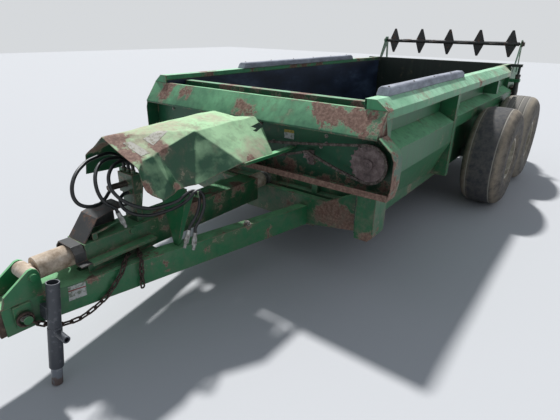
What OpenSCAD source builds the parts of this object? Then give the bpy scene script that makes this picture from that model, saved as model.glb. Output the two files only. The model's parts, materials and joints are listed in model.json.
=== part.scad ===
// Push-off manure spreader on tandem walking beams, parked on its drop-leg jack.
// +X points to the hitch, +Y to the side that carries the beater drive, +Z up.
// The origin lies on the ground, under the middle of the machine. Millimetres.

/* [Overall] */
// Front wall of the box to the tip of the hitch clevis
front_reach = 2250; // [2200:10:2400]
// Front face of the endgate to the rear edge of the beater plates
rear_reach = 760; // [740:10:880]

/* [Box] */
// Front wall to the front face of the endgate
box_len = 4320; // [4260:10:4330]
// Centreline to the outer face of the side sheets
side_y = 960; // [950:5:970]
// Floor of the box above the ground
floor_z = 520; // [510:5:530]
// Flat top of the side rails above the ground
rail_z = 1385; // [1330:5:1420]
// Thickness of the box's sheets
sheet_t = 5; // [4:1:6]
// Thickness of the plastic liner on the side sheets
liner_t = 10; // [6:1:12]
// Centreline to the outer edge of the side rails
rail_out = 1110; // [1090:5:1130]
// Fall of the sloped part of a side rail
rail_fall = 63; // [40:1:80]
// Height of a side rail's outer lip
rail_lip = 55; // [40:5:70]
// Front wall to the rear end of the side rails
rail_len = 3770; // [3600:10:3900]
// Height of the two cap bars on the rails
cap_h = 57; // [40:1:70]

/* [Drive] */
// Height of the beater drive shaft along the side
shaft_z = 992; // [980:1:1000]
// Centreline to the beater drive shaft
shaft_y = 1048; // [1040:1:1055]
// Pitch radius of the large sprocket
big_r = 124; // [110:1:126]
// Pitch radius of the small drive sprocket
small_r = 70; // [60:1:80]
// Radius of the input shaft
input_r = 17.45; // [15:0.05:20]

/* [Running gear] */
// Outer radius of a tyre
tyre_r = 523; // [500:1:530]
// Section width of a tyre
tyre_w = 412; // [400:1:420]
// Centreline to the middle of a tyre
track_y = 1297; // [1295:1:1310]
// Front face of the endgate to the front axle
front_axle = 1740; // [1720:10:1820]
// Distance between the two axles
axle_gap = 1170; // [1120:10:1200]
// Height of the walking beams' pivot
pivot_z = 385; // [375:1:395]
// Radius of the pivot tube
pivot_r = 50; // [45:1:55]
// Radius of a wheel spindle
spindle_r = 30; // [25:1:35]
// Radius of a rim's bead seat
rim_r = 205; // [200:1:210]

/* [Tongue] */
// Bottom of the tongue beams above the ground
tongue_z = 340; // [330:5:350]
// Height of the tongue beams
tongue_h = 160; // [150:5:165]
// Centreline to the tongue's outer face at its rear end
tongue_y = 480; // [460:5:500]
// Centreline to the tongue's outer face at the cylinder pin
nose_y = 82; // [80:1:90]
// Width of a tongue beam
beam_w = 76; // [70:1:80]
// Front wall to the telescopic cylinder's front pin
ram_pin_x = 1752; // [1740:1:1760]
// Radius of the hole in the hitch clevis
hitch_r = 17; // [14:0.5:20]

/* [Ram] */
// Height of the telescopic cylinder's axis
ram_z = 612; // [605:1:620]
// Radius of the telescopic cylinder's barrel
barrel_r = 62; // [60:1:66]
// Travel of the push-off panel
ram_travel = 4020; // [3600:10:4030]
// Front wall to the front face of the push-off panel's sheet
ram_x = 262; // [255:1:280]
// Top of the push-off panel above the ground
ram_top = 1333; // [1300:1:1340]

/* [Endgate and beaters] */
// Height that the endgate rises
gate_lift = 600; // [500:10:620]
// Thickness of the endgate with its ribs
gate_t = 60; // [50:1:66]
// Front face of the endgate to the main beater's axis
main_x = 415; // [410:1:425]
// Height of the main beater's axis
main_z = 930; // [920:1:940]
// Radius over the main beater's paddles
main_r = 325; // [300:1:330]
// Front face of the endgate to the upper beater's axis
upper_x = 360; // [340:1:380]
// Height of the upper beater's axis
upper_z = 1630; // [1610:1:1660]
// Radius over the upper beater's paddles
upper_r = 180; // [150:1:190]

/* [Jack] */
// Front wall to the foot of the jack
jack_x = 1790; // [1780:1:1800]
// Backward lean of the jack
jack_lean = 8.6; // [6:0.1:9]
// Outer radius of the jack's sleeve
jack_r = 36; // [34:0.5:40]
// Travel of the jack's inner leg
jack_travel = 250; // [150:10:260]

/* [Hidden] */

$fn = 48;

// Running clearance round a pin or shaft, and the gap between parts that only rest on each other
run = 0.05;
seat = 0.3;
// Least clearance of a moving panel
clear = 8;

// The front wall's plane, so that the origin is under the middle of the machine
wall_x = (box_len + rear_reach - front_reach) / 2;
in_y = side_y - sheet_t;
sheet_bottom = floor_z - 65;
gate_x = wall_x - box_len;
axle_x = [gate_x + front_axle, gate_x + front_axle - axle_gap];
axle_z = tyre_r;
pivot_x = (axle_x[0] + axle_x[1]) / 2;

green = "#4f9a6a";
dark_green = "#2f6b4c";
rust = "#7d5a4c";
grey = "#8a8c96";
black = "#25272b";
rubber = "#5d5b5b";
steel = "#7f8286";
white = "#d9d6cb";

// Bent sheets and extrusions along an axis

function unit(v) = v / norm(v);
function left_of(v) = [-v[1], v[0]];
function mitre(p, i, t) =
    let (last = len(p) - 1,
         before = left_of(unit(i > 0 ? p[i] - p[i - 1] : p[1] - p[0])),
         after = left_of(unit(i < last ? p[i + 1] - p[i] : p[last] - p[last - 1])))
    p[i] + (before + after) * t / (1 + before * after);

// A sheet of thickness t bent along the path p, on the left of the path
module bent_sheet(p, t) {
    polygon(concat(p, [for (i = [len(p) - 1:-1:0]) mitre(p, i, t)]));
}

// A drawing in Y and Z, drawn out from x0 to x1
module along_x(x0, x1) {
    translate([x0, 0, 0]) rotate([90, 0, 90]) linear_extrude(x1 - x0) children();
}

// A drawing in X and Z, drawn out from y0 to y1
module along_y(y0, y1) {
    translate([0, y1, 0]) rotate([90, 0, 0]) linear_extrude(y1 - y0) children();
}

module block(x0, x1, y0, y1, z0, z1) {
    translate([x0, y0, z0]) cube([x1 - x0, y1 - y0, z1 - z0]);
}

module both_sides() {
    children();
    mirror([0, 1, 0]) children();
}

module rod_x(x0, x1, y, z, r) {
    translate([x0, y, z]) rotate([0, 90, 0]) cylinder(h = x1 - x0, r = r);
}

module rod_y(y0, y1, x, z, r) {
    translate([x, y1, z]) rotate([90, 0, 0]) cylinder(h = y1 - y0, r = r);
}

module rod_z(z0, z1, x, y, r) {
    translate([x, y, z0]) cylinder(h = z1 - z0, r = r);
}

// Moves what stands on the origin to the point a, and turns it to point along d
module aim(a, d) {
    translate(a) rotate([0, acos(d[2] / norm(d)), atan2(d[1], d[0])]) children();
}

module rod_between(a, b, r) {
    aim(a, b - a) cylinder(h = norm(b - a), r = r);
}

// Sides of the box

rail_flat_y = 1030;
rail_t = 4;

module side_sheet() {
    block(gate_x + 20, wall_x, in_y, side_y, sheet_bottom, rail_z - rail_t - seat);
}

module side_sheets() {
    color(green) both_sides() side_sheet();
}

rail_path = [[in_y - 5, rail_z - 40], [in_y - 5, rail_z], [rail_flat_y, rail_z], [rail_out, rail_z - rail_fall],
    [rail_out, rail_z - rail_fall - rail_lip], [rail_out - 30, rail_z - rail_fall - rail_lip]];

module rail() {
    rail_x = wall_x - rail_len;
    along_x(rail_x, wall_x)
        bent_sheet([for (i = [len(rail_path) - 1:-1:0]) rail_path[i]], rail_t);
    // Plate that closes the front end of the rail
    along_x(wall_x - rail_t, wall_x)
        polygon([rail_path[1], rail_path[2], rail_path[3], rail_path[4],
            [side_y + seat, rail_z - rail_fall - rail_lip], [side_y + seat, rail_z - rail_t]]);
    // Behind the rails the side sheets end in a plain flange
    block(gate_x + 20, rail_x, in_y - 5, rail_flat_y - 30, rail_z - rail_t, rail_z);
}

module side_rails() {
    color(green) both_sides() rail();
}

// The cap bars lie on the flat of the rails, the left one further forward: front end, rear end, side
cap_table = [[175, 1910, 1], [1000, 3400, -1]];
cap_y = 984;
cap_w = 92;
cap_slope = 34;

module rail_caps() {
    color(grey)
    for (cap = cap_table) {
        front = wall_x - cap[0];
        rear = wall_x - cap[1];
        translate([0, cap[2] * cap_y, rail_z])
        intersection() {
            along_x(rear, front)
                polygon([[-cap_w / 2, 0], [cap_w / 2, 0], [cap_w / 2 - 4, cap_h - 18], [cap_w / 2 - 20, cap_h],
                    [16 - cap_w / 2, cap_h], [2 - cap_w / 2, cap_h - 16]]);
            along_y(-cap_w, cap_w)
                polygon([[rear, 0], [front, 0], [front - cap_slope, cap_h], [rear + cap_slope, cap_h]]);
        }
    }
}

// Front wall and chain tray

tray_z = 795;
tray_depth = 130;
crease_z = 1175;
crease_x = 118;
panel_top_z = 1322;
tray_far_y = -1100;
tray_near_y = 1238;
post_depth = 185;

module front_wall() {
    // Below the tray the front is open for the telescopic cylinder
    color(green) {
        block(wall_x - sheet_t, wall_x, -in_y, in_y, tray_z, panel_top_z);
        // Folded edge along the top
        fold_y = in_y - liner_t - 2 * seat;
        block(wall_x - 34, wall_x - sheet_t, -fold_y, fold_y, panel_top_z - 4, panel_top_z);
    }
}

// Outline of the tray's back plate, with a rounded near end round the large sprocket
module tray_outline() {
    polygon([[tray_far_y, tray_z], [tray_near_y - 20, tray_z], [tray_near_y, tray_z + 90],
        [tray_near_y, tray_z + 260], [tray_near_y - 22, tray_z + 310], [1125, crease_z + 5],
        [1105, panel_top_z - 22], [960, panel_top_z - 4], [tray_far_y, panel_top_z - 4]]);
}

module chain_tray() {
    tray_t = 4;
    front = wall_x + tray_depth;
    color(green) {
        difference() {
            along_x(wall_x, wall_x + tray_t) tray_outline();
            // Where the side drive shaft comes through
            rod_x(wall_x - 5, wall_x + 20, shaft_y, shaft_z, side_shaft_r + run);
            rod_x(wall_x - 5, wall_x + 20, 0, drive_z, line_r + run);
        }
        // Bearing housings of the side shaft and the input shaft
        for (hub = [[shaft_y, shaft_z, side_shaft_r], [0, drive_z, line_r]])
            difference() {
                rod_x(wall_x + tray_t, wall_x + 36, hub[0], hub[1], 42);
                rod_x(wall_x, wall_x + 40, hub[0], hub[1], hub[2] + run);
            }
        // Shelf with an upturned lip
        along_y(tray_far_y, tray_near_y - 20)
            bent_sheet([[wall_x + tray_t, tray_z], [front, tray_z], [front, tray_z + 42]], tray_t);
        // Near end flange, bent to follow the sprocket
        along_x(wall_x + tray_t, front)
            bent_sheet([[tray_near_y - 20, tray_z], [tray_near_y, tray_z + 90], [tray_near_y, tray_z + 260],
                [tray_near_y - 22, tray_z + 310], [1125, crease_z + 5]], tray_t);
        // Sloped panel over the tray
        along_y(tray_far_y, rail_out)
            bent_sheet([[wall_x + crease_x, crease_z - 16], [wall_x + crease_x, crease_z],
                [wall_x + tray_t, panel_top_z]], tray_t);
        // Far end plate
        along_y(tray_far_y, tray_far_y + tray_t)
            polygon([[wall_x + tray_t, tray_z + tray_t], [front - tray_t, tray_z + tray_t],
                [front - tray_t, crease_z - 60], [wall_x + crease_x - 6, crease_z - 6],
                [wall_x + tray_t, panel_top_z - 12]]);
        // Near end of the sloped panel
        along_y(rail_out - tray_t, rail_out)
            polygon([[wall_x + tray_t, crease_z - 16], [wall_x + crease_x - 4, crease_z - 16],
                [wall_x + crease_x - 4, crease_z - 4], [wall_x + tray_t, panel_top_z - 12]]);
    }
}

// Floor and its frame

sill_y = 430;
sill_w = 75;
sill_bottom = 305;
cross_front = 125;
cross_t = 60;

module floor_frame() {
    color(dark_green)
    difference() {
        union() {
            block(gate_x - gate_t - 25, wall_x - cross_front - cross_t - seat, -in_y, in_y, floor_z - 5, floor_z);
            for (i = [0:7])
                let (x = wall_x - 260 - i * (box_len - 340) / 7)
                    block(x - 40, x, -in_y, in_y, sheet_bottom, floor_z - 5);
            both_sides()
                block(gate_x - gate_t - 25, wall_x - cross_front - cross_t, sill_y, sill_y + sill_w, sill_bottom,
                    sheet_bottom);
            block(gate_x - gate_t - 25, gate_x + 10, -in_y, in_y, sheet_bottom, floor_z - 5);
            // Pivot tube of the walking beams, welded through the sills
            rod_y(-beam_y1 - 22, beam_y1 + 22, pivot_x, pivot_z, pivot_r);
        }
        rod_y(-beam_y1 - 30, beam_y1 + 30, pivot_x, pivot_z, pivot_r - 10);
    }
}

module wall_liners() {
    color(black)
    both_sides()
        block(gate_x + 25, wall_x - sheet_t - 10, in_y - liner_t - seat, in_y - seat, floor_z + seat, rail_z - 45);
}

// Cover over the side drive shaft, with the skirt below it in the front bay

bay_front = 100;
mid_post = 1530;
post_w = 70;
rear_post = 3120;
cover_top = 1106;

module shaft_cover() {
    color(green) {
        difference() {
            along_x(wall_x - mid_post, wall_x - bay_front)
                bent_sheet([[side_y, floor_z - 18], [1105, 850], [1105, 1032], [side_y, cover_top]], 4);
            // The skirt starts behind the front post, and its lower edge falls to the rear
            block(wall_x - post_depth, wall_x, side_y - 1, 1200, 400, tray_z);
            block(wall_x - mid_post - 1, wall_x, side_y - 20, side_y, 400, 1200);
            along_y(side_y - 1, 1200)
                polygon([[wall_x, 400], [wall_x, 655], [wall_x - mid_post - 1, 515], [wall_x - mid_post - 1, 400]]);
        }
        difference() {
            along_x(gate_x + 60, wall_x - mid_post - post_w)
                bent_sheet([[1010, 915], [1078, 945], [1078, 1046], [side_y, cover_top]], 4);
            block(gate_x, wall_x, side_y - 20, side_y, 400, 1200);
        }
    }
}

// Posts against the side sheets: front end, width, outer edge, foot, side
post_table = [
    [0, bay_front, rail_out - 6, tray_z, 1],
    [0, bay_front, rail_out - 6, tray_z, -1],
    [mid_post, post_w, rail_out - 2, 515, 1],
    [mid_post, post_w, rail_out - 2, 515, -1],
    [rear_post, post_w, rail_out - 2, cover_top + 6, 1],
    [rear_post, post_w, rail_out - 2, cover_top + 6, -1]];

module side_post(front, width, outer, foot) {
    top = rail_z - rail_fall - rail_lip;
    translate([0, 0, foot])
    linear_extrude(top - seat - foot)
        bent_sheet([[wall_x - front, side_y], [wall_x - front, outer], [wall_x - front - width, outer],
            [wall_x - front - width, side_y]], 5);
}

module side_posts() {
    color(green)
    difference() {
        for (post = post_table)
            mirror([0, post[4] < 0 ? 1 : 0, 0]) side_post(post[0], post[1], post[2], post[3]);
        // The side drive shaft runs through the posts on its side
        rod_x(wall_x - box_len, wall_x + 1, shaft_y, shaft_z, 26);
    }
}

// Endgate, its guides and its cylinders

guide_x0 = gate_x + 15;
guide_x1 = gate_x - gate_t - 15;
guide_y = 1010;
guide_top = 1335;
guide_t = 5;
lift_y = 1106;
lift_r = 30;
lift_rod_r = 16;
lift_foot = 500;
lift_top = lift_foot + 150 + gate_lift;
gate_mid_x = gate_x - gate_t / 2;

module gate_guides() {
    color(green)
    both_sides() {
        translate([0, 0, sheet_bottom])
        linear_extrude(guide_top - sheet_bottom)
            bent_sheet([[guide_x0, side_y + seat], [guide_x0, guide_y], [guide_x1, guide_y],
                [guide_x1, side_y + seat]], -guide_t);
        // Lower seat and upper band of each lift cylinder
        block(gate_mid_x - 40, gate_mid_x + 40, guide_y, lift_y + 34, lift_foot - 10, lift_foot);
        difference() {
            block(gate_mid_x - 42, gate_mid_x + 42, guide_y, lift_y + 36, lift_top - 100, lift_top - 60);
            rod_z(lift_top - 110, lift_top - 50, gate_mid_x, lift_y, lift_r + run);
        }
    }
}

module gate_cylinders() {
    color(black)
    both_sides()
    difference() {
        union() {
            rod_z(lift_foot, lift_top, gate_mid_x, lift_y, lift_r);
            rod_z(lift_top - 30, lift_top, gate_mid_x, lift_y, lift_r + 3);
        }
        rod_z(lift_foot + 15, lift_top + 10, gate_mid_x, lift_y, lift_rod_r + run);
    }
}

module endgate() {
    gate_y = guide_y - 5 - clear;
    gate_bottom = floor_z + seat;
    gate_top = 1383;
    color(dark_green) {
        block(gate_x - 8, gate_x, -gate_y, gate_y, gate_bottom, gate_top);
        // Stiffening channels across the rear face
        for (z = [gate_bottom, gate_bottom + 270, gate_bottom + 540, gate_top - 50])
            block(gate_x - gate_t, gate_x - 8, -gate_y, gate_y, z, z + 50);
        both_sides() {
            block(gate_x - gate_t, gate_x - 8, gate_y - 40, gate_y, gate_bottom, gate_top);
            // Arms out over the lift cylinders, with the rods below them
            block(gate_x - gate_t, gate_x, gate_y - 40, lift_y + 30, guide_top + 12, gate_top);
            rod_z(lift_foot + 40, guide_top + 20, gate_mid_x, lift_y, lift_rod_r);
        }
    }
}

// Beaters

plate_y = 1000;
plate_t = 8;
shaft_r = 20;
side_shaft_r = 17;

module beater_plates() {
    rear = gate_x - rear_reach;
    front = guide_x1 - guide_t;
    axis = gate_x - upper_x;
    color(green) {
        both_sides()
        difference() {
            along_y(plate_y, plate_y + plate_t)
                polygon([[front, 480], [rear + 120, 520], [rear, 700], [rear, 1080], [rear + 190, 1335],
                    [front, 1383]]);
            rod_y(plate_y - 1, plate_y + plate_t + 1, gate_x - main_x, main_z, 32);
        }
        // Legs that carry the upper beater
        both_sides()
        difference() {
            along_y(plate_y + plate_t, plate_y + 2 * plate_t)
                polygon([[front, 1250], [front - 60, 1250], [axis - 10, upper_z - 70], [axis - 50, 1250],
                    [axis - 110, 1250], [axis - 45, upper_z + 55], [axis + 45, upper_z + 55]]);
            rod_y(plate_y, plate_y + 20, axis, upper_z, 26);
        }
        // Tie tube across the rear
        rod_y(-plate_y, plate_y, rear + 90, 600, 30);
    }
}

module flange_bearing(x, z, size, bore) {
    difference() {
        union() {
            translate([x, 0, z]) rotate([90, 0, 0]) translate([0, 0, -12])
                linear_extrude(12) square(size, center = true);
            rod_y(0, 34, x, z, size * 0.36);
        }
        rod_y(-5, 40, x, z, bore);
    }
}

module beater_bearings() {
    color(steel)
    both_sides() {
        translate([0, plate_y + plate_t, 0])
            flange_bearing(gate_x - main_x, main_z, 110, shaft_r + run);
        translate([0, plate_y + 2 * plate_t, 0])
            flange_bearing(gate_x - upper_x, upper_z, 76, 14 + run);
    }
}

// Paddles round the beater tubes: each turned by a quarter from its neighbour
main_paddles = 12;
upper_paddles = 9;

module main_beater() {
    tube_r = 62;
    half = plate_y - 20;
    color(rust)
    translate([gate_x - main_x, 0, main_z]) {
        rod_y(-half, half, 0, 0, tube_r);
        rod_y(-plate_y - 60, plate_y + 60, 0, 0, shaft_r);
        for (i = [0:main_paddles - 1])
            let (y = (i + 0.5) * 2 * half / main_paddles - half)
            for (side = [0, 180])
                rotate([0, 90 * i + side, 0])
                translate([0, y, 0])
                translate([-6, 0, 0])
                rotate([90, 0, 90])
                linear_extrude(12)
                    polygon([[-66, tube_r - 8], [66, tube_r - 8], [70, main_r - 20], [40, main_r - 4],
                        [-40, main_r - 4], [-70, main_r - 20]]);
    }
}

module upper_beater() {
    tube_r = 27;
    half = plate_y - 16;
    color(black)
    translate([gate_x - upper_x, 0, upper_z]) {
        rod_y(-half, half, 0, 0, tube_r);
        rod_y(-plate_y - 50, plate_y + 50, 0, 0, 14);
        for (i = [0:upper_paddles - 1])
            let (y = (i + 0.5) * 2 * half / upper_paddles - half)
            for (side = [0, 180])
                rotate([0, 90 * i + side, 0])
                translate([-4, y, 0])
                rotate([90, 0, 90])
                linear_extrude(8)
                    polygon([[-75, tube_r - 4], [75, tube_r - 4], [14, upper_r - 1], [-14, upper_r - 1]]);
    }
}

// Drive at the rear left: the side shaft ends in a chain case on the beater plate

module rear_drive_case() {
    y0 = plate_y + plate_t + 12;
    color(rust)
    difference() {
        along_y(y0 + seat, y0 + 50)
            polygon([[gate_x - main_x - 120, main_z - 110], [gate_x - main_x + 110, main_z - 120],
                [guide_x1 - 20, shaft_z - 70], [guide_x1 - 20, shaft_z + 75], [gate_x - main_x - 60, main_z + 150],
                [gate_x - main_x - 130, main_z + 60]]);
        rod_y(y0, y0 + 45, gate_x - main_x, main_z, 46);
    }
}

// Chain drive across the front wall

drive_z = 918;
sprocket_x = wall_x + 70;
idler_y = 582;
idler_z = 968;
idler_r = 28;

// A chain wheel in the plane across the machine: its teeth stand in the gaps between the chain's rollers
module chain_wheel(pitch_r, teeth, depth) {
    polygon([for (i = [0:teeth - 1]) for (step = [[0.5, -depth], [0.78, -depth * 0.6], [0.92, depth * 0.7],
        [1.08, depth * 0.7], [1.22, -depth * 0.6]])
        let (angle = 360 * (i + step[0]) / teeth) (pitch_r + step[1]) * [cos(angle), sin(angle)]]);
}

link_pitch = 38.1;
chain_half = 9;
chain_w = 17;
wheel_t = 9;
tooth = 8;

// A wheel cut back to the chain that wraps it, so that its teeth show where the chain has left it
module toothed_disc(wheel) {
    along_x(sprocket_x - wheel_t / 2, sprocket_x + wheel_t / 2)
    difference() {
        translate(wheel[0]) chain_wheel(wheel[1], round(2 * PI * wheel[1] / link_pitch), tooth);
        chain_band(chain_half + seat, 0);
    }
}

module large_sprocket() {
    color(rust) {
        toothed_disc(drive_wheels[2]);
        rod_x(wall_x + 36 + seat, sprocket_x + 21, shaft_y, shaft_z, 38);
        // Side drive shaft behind it, down to the rear case
        rod_x(guide_x1 - 20 + seat, sprocket_x + 27, shaft_y, shaft_z, side_shaft_r);
    }
}

module chain_idler() {
    color(rust) {
        rod_x(wall_x + 4, sprocket_x + 16, idler_y, idler_z, 10);
        toothed_disc(drive_wheels[1]);
        along_x(wall_x + 4, wall_x + 12)
            polygon([[idler_y - 20, idler_z + 26], [idler_y + 20, idler_z + 26], [idler_y + 20, idler_z - 80],
                [idler_y - 20, idler_z - 80]]);
    }
}

// The chain's path: a line between two sprockets, each on the left (1) or right (-1) of the chain's travel
drive_wheels = [
    [[0, drive_z], small_r, 1],
    [[idler_y, idler_z], idler_r, -1],
    [[shaft_y, shaft_z], big_r, 1]];

function heading(a, b) =
    let (d = b[0] - a[0])
    atan2(d[1], d[0]) - asin((b[2] * b[1] - a[2] * a[1]) / norm(d));
function on_arc(w, angle) = w[0] - w[2] * w[1] * [-sin(angle), cos(angle)];
// Pins of the chain: round the wheels, then along the straight runs between them
function arc_pins() =
    [for (i = [0:2])
        let (w = drive_wheels[i], first = heading(drive_wheels[(i + 2) % 3], w),
             last = heading(w, drive_wheels[(i + 1) % 3]),
             turn = w[2] > 0 ? ((last - first) % 360 + 360) % 360 : -(((first - last) % 360 + 360) % 360),
             steps = max(2, round(abs(turn) * PI / 180 * w[1] / link_pitch)))
        for (k = [0:steps]) on_arc(w, first + turn * k / steps)];
function chain_pins() =
    let (p = arc_pins(), n = len(p))
    [for (i = [0:n - 1])
        let (d = p[(i + 1) % n] - p[i], links = max(1, round(norm(d) / link_pitch)))
        for (k = [0:links - 1]) p[i] + d * k / links];
// One edge of the chain's plates, which swell at each pin and narrow between two pins
function chain_edge(off, swell) =
    let (p = chain_pins(), n = len(p))
    [for (i = [0:n - 1])
        let (next = p[(i + 1) % n], ahead = left_of(unit(next - p[i])),
             across = left_of(unit(next - p[(i + n - 1) % n])))
        each [p[i] + across * (off + swell), (p[i] + next) / 2 + ahead * (off - swell)]];

module chain_band(half, swell) {
    difference() {
        polygon(chain_edge(swell - half, -swell));
        polygon(chain_edge(half - swell, swell));
    }
}

module drive_chain() {
    color(rust) along_x(sprocket_x - chain_w / 2, sprocket_x + chain_w / 2) chain_band(chain_half, 1.2);
}

// Drive line under the hood: input shaft, front bearing block and small sprocket

block_x = wall_x + 1060;
block_t = 60;
shaft_end_x = block_x + block_t + 115;
line_r = 20;

module input_shaft() {
    color(steel) {
        rod_x(wall_x + 40, block_x + block_t, 0, drive_z, line_r);
        rod_x(block_x + block_t, shaft_end_x, 0, drive_z, input_r);
        toothed_disc(drive_wheels[0]);
        rod_x(wall_x + 36 + seat, sprocket_x + 22, 0, drive_z, 30);
        // Collar in front of the bearing block
        rod_x(block_x - 24, block_x - seat, 0, drive_z, 32);
    }
}

guard_top = ram_z + barrel_r + 5;
guard_y = 88;
lip_y = 150;
lip_z = 585;
guard_front = wall_x + 1472;

yoke_x = guard_front - 88;

// Block that holds the front of the input shaft, on a stand over the cylinder guard
module bearing_block() {
    color(green)
    difference() {
        union() {
            block(block_x, block_x + block_t, -70, 70, drive_z - 62, drive_z + 62);
            block(block_x + 10, block_x + 50, -60, 60, guard_top, drive_z - 62);
            // Unions for the hoses: three on top and two on the front face
            for (y = [-45, 0, 45])
                rod_z(drive_z + 62, drive_z + 84, block_x + block_t / 2, y, 14);
            for (union_at = [[50, -40], [-50, -25]])
                rod_x(block_x + block_t, block_x + block_t + 22, union_at[0], drive_z + union_at[1], 14);
            // Rod under the shield, with a yoke that stands on the guard
            rod_between([block_x + 44, 46, 744], [yoke_x + 8, 62, 708], 7);
            difference() {
                block(yoke_x, yoke_x + 30, 47, 77, guard_top + seat, 720);
                block(yoke_x - 1, yoke_x + 31, 56, 68, guard_top, 698);
            }
        }
        rod_x(block_x - 5, block_x + block_t + 5, 0, drive_z, line_r + run);
    }
}

// Front posts, cross member and tongue

post_in = side_y;
post_out = 1100;
post_foot = 420;

module front_posts() {
    color(green)
    both_sides()
    difference() {
        block(wall_x - post_depth, wall_x, post_in, post_out, post_foot, tray_z);
        block(wall_x - post_depth + 6, wall_x - 6, post_in + 6, post_out - 6, post_foot + 6, tray_z + 1);
        translate([wall_x - post_depth - 1, post_out, post_foot]) rotate([45, 0, 0])
            translate([0, -28, -28]) cube([post_depth + 2, 56, 56]);
    }
}

cross_top = 575;
gusset_top = 700;

module cross_member() {
    half = [[0, 350], [540, 350], [post_in, post_foot], [post_in, gusset_top], [in_y - 60, gusset_top],
        [640, cross_top], [0, cross_top]];
    color(green)
    difference() {
        both_sides()
            along_x(wall_x - cross_front - cross_t, wall_x - cross_front) polygon(half);
        // Saddle of the telescopic cylinder
        rod_x(wall_x - cross_front - cross_t - 5, wall_x - cross_front + 5, 0, ram_z, barrel_r + seat);
        // The side sheets and liners run past the ends
        both_sides() block(wall_x - 400, wall_x, in_y - liner_t - 2 * seat, side_y + 1, sheet_bottom - 1, 900);
    }
}

beam_top = tongue_z + tongue_h;
nose_x = wall_x + ram_pin_x;
hitch_x = wall_x + front_reach;

module tongue_body() {
    rear = wall_x - cross_front;
    front = nose_x + 170;
    slope = (tongue_y - nose_y) / (nose_x - rear);
    inner = beam_w / cos(atan(slope));
    translate([0, 0, tongue_z]) linear_extrude(tongue_h)
        polygon([[rear, tongue_y], [nose_x, nose_y], [front, nose_y - 12], [front, 12 - nose_y],
            [nose_x, -nose_y], [rear, -tongue_y], [rear, inner - tongue_y],
            [nose_x - 260, -20], [nose_x - 260, 20], [rear, tongue_y - inner]]);
}

pin_r = 20;
ear_in = 64;
ear_t = 16;

module tongue() {
    ear = ear_in + seat;
    color(green) {
        tongue_body();
        // Ears of the telescopic cylinder's pin
        both_sides()
            along_y(ear, ear + ear_t)
                polygon([[nose_x - 36, beam_top], [nose_x - 34, ram_z + 4], [nose_x - 24, ram_z + 32],
                    [nose_x - 6, ram_z + 44], [nose_x + 14, ram_z + 42], [nose_x + 32, ram_z + 30],
                    [nose_x + 146, ram_z - 50], [nose_x + 164, beam_top]]);
        rod_y(-ear_in - 30, ear_in + 30, nose_x, ram_z, pin_r);
        // Pads on the side of the nose, and the bolt of the safety chain on the near one
        both_sides() block(nose_x + 40, nose_x + 125, nose_y - 14, nose_y + 5, 372, beam_top - 8);
        rod_y(nose_y, nose_y + 50, nose_x + 82, 418, 9);
        rod_y(nose_y + 44, nose_y + 50, nose_x + 82, 418, 22);
    }
}

hitch_z = 420;

module hitch() {
    gap = 46;
    eye = 58;
    color(rust)
    difference() {
        union() {
            block(nose_x + 170, nose_x + 196, -68, 68, tongue_z + 8, beam_top - 8);
            for (z = [hitch_z - gap / 2 - 24, hitch_z + gap / 2]) {
                block(nose_x + 190, hitch_x - eye, -eye, eye, z, z + 24);
                rod_z(z, z + 24, hitch_x - eye, 0, eye);
            }
            block(nose_x + 190, nose_x + 330, -eye, eye, hitch_z - gap / 2 - 1, hitch_z + gap / 2 + 1);
        }
        rod_z(370, 480, hitch_x - eye, 0, hitch_r);
    }
}

// End piece of the cylinder's cover: it lies on the barrel, with the cover's own section below
module ram_strap() {
    side = guard_y + 2;
    top = ram_z + barrel_r + seat;
    color(black)
    along_x(guard_front + 2, guard_front + 66)
        bent_sheet([[-lip_y, lip_z], [-side, lip_z], [-side, top - 32], [30 - side, top], [side - 30, top],
            [side, top - 32], [side, lip_z], [lip_y, lip_z]], 8);
}

// Walking beams on the pivot tube

beam_y0 = side_y + 16;
beam_y1 = 1058;

module walking_beams() {
    eye = 76;
    color(green)
    both_sides()
    difference() {
        union() {
            along_y(beam_y0, beam_y1)
                polygon([[axle_x[0] + 20, axle_z + 62], [axle_x[0] + 62, axle_z + 20], [axle_x[0] + 50, axle_z - 50],
                    [pivot_x + 70, pivot_z - eye], [pivot_x - 70, pivot_z - eye], [axle_x[1] - 50, axle_z - 50],
                    [axle_x[1] - 62, axle_z + 20], [axle_x[1] - 20, axle_z + 62], [pivot_x - 60, pivot_z + eye],
                    [pivot_x + 60, pivot_z + eye]]);
            for (x = axle_x)
                rod_y(beam_y1, track_y + 40, x, axle_z, spindle_r);
        }
        rod_y(beam_y0 - 1, beam_y1 + 1, pivot_x, pivot_z, pivot_r + run);
    }
}

// Wheels

tyre_sides = 22;

module rim(x) {
    color(white)
    translate([x, track_y, axle_z]) rotate([90, 0, 0])
    difference() {
        union() {
            // Rim well and flanges
            rotate_extrude($fn = tyre_sides)
                polygon([[rim_r - 8, -178], [rim_r + 18, -178], [rim_r + 18, -172], [rim_r, -168],
                    [rim_r, -60], [rim_r - 30, -45], [rim_r - 30, 45], [rim_r, 60], [rim_r, 168],
                    [rim_r + 18, 172], [rim_r + 18, 178], [rim_r - 8, 178], [rim_r - 8, 64],
                    [rim_r - 38, 50], [rim_r - 38, -50], [rim_r - 8, -64]]);
            // Dished disc
            rotate_extrude()
                polygon([[50, -42], [110, -42], [rim_r - 38, -20], [rim_r - 38, -12], [110, -34], [50, -34]]);
            // Hub with its cap
            translate([0, 0, -70]) cylinder(h = 150, r = 58);
            translate([0, 0, -88]) cylinder(h = 20, r = 38);
        }
        translate([0, 0, -50]) cylinder(h = 140, r = spindle_r + run);
    }
}

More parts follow.
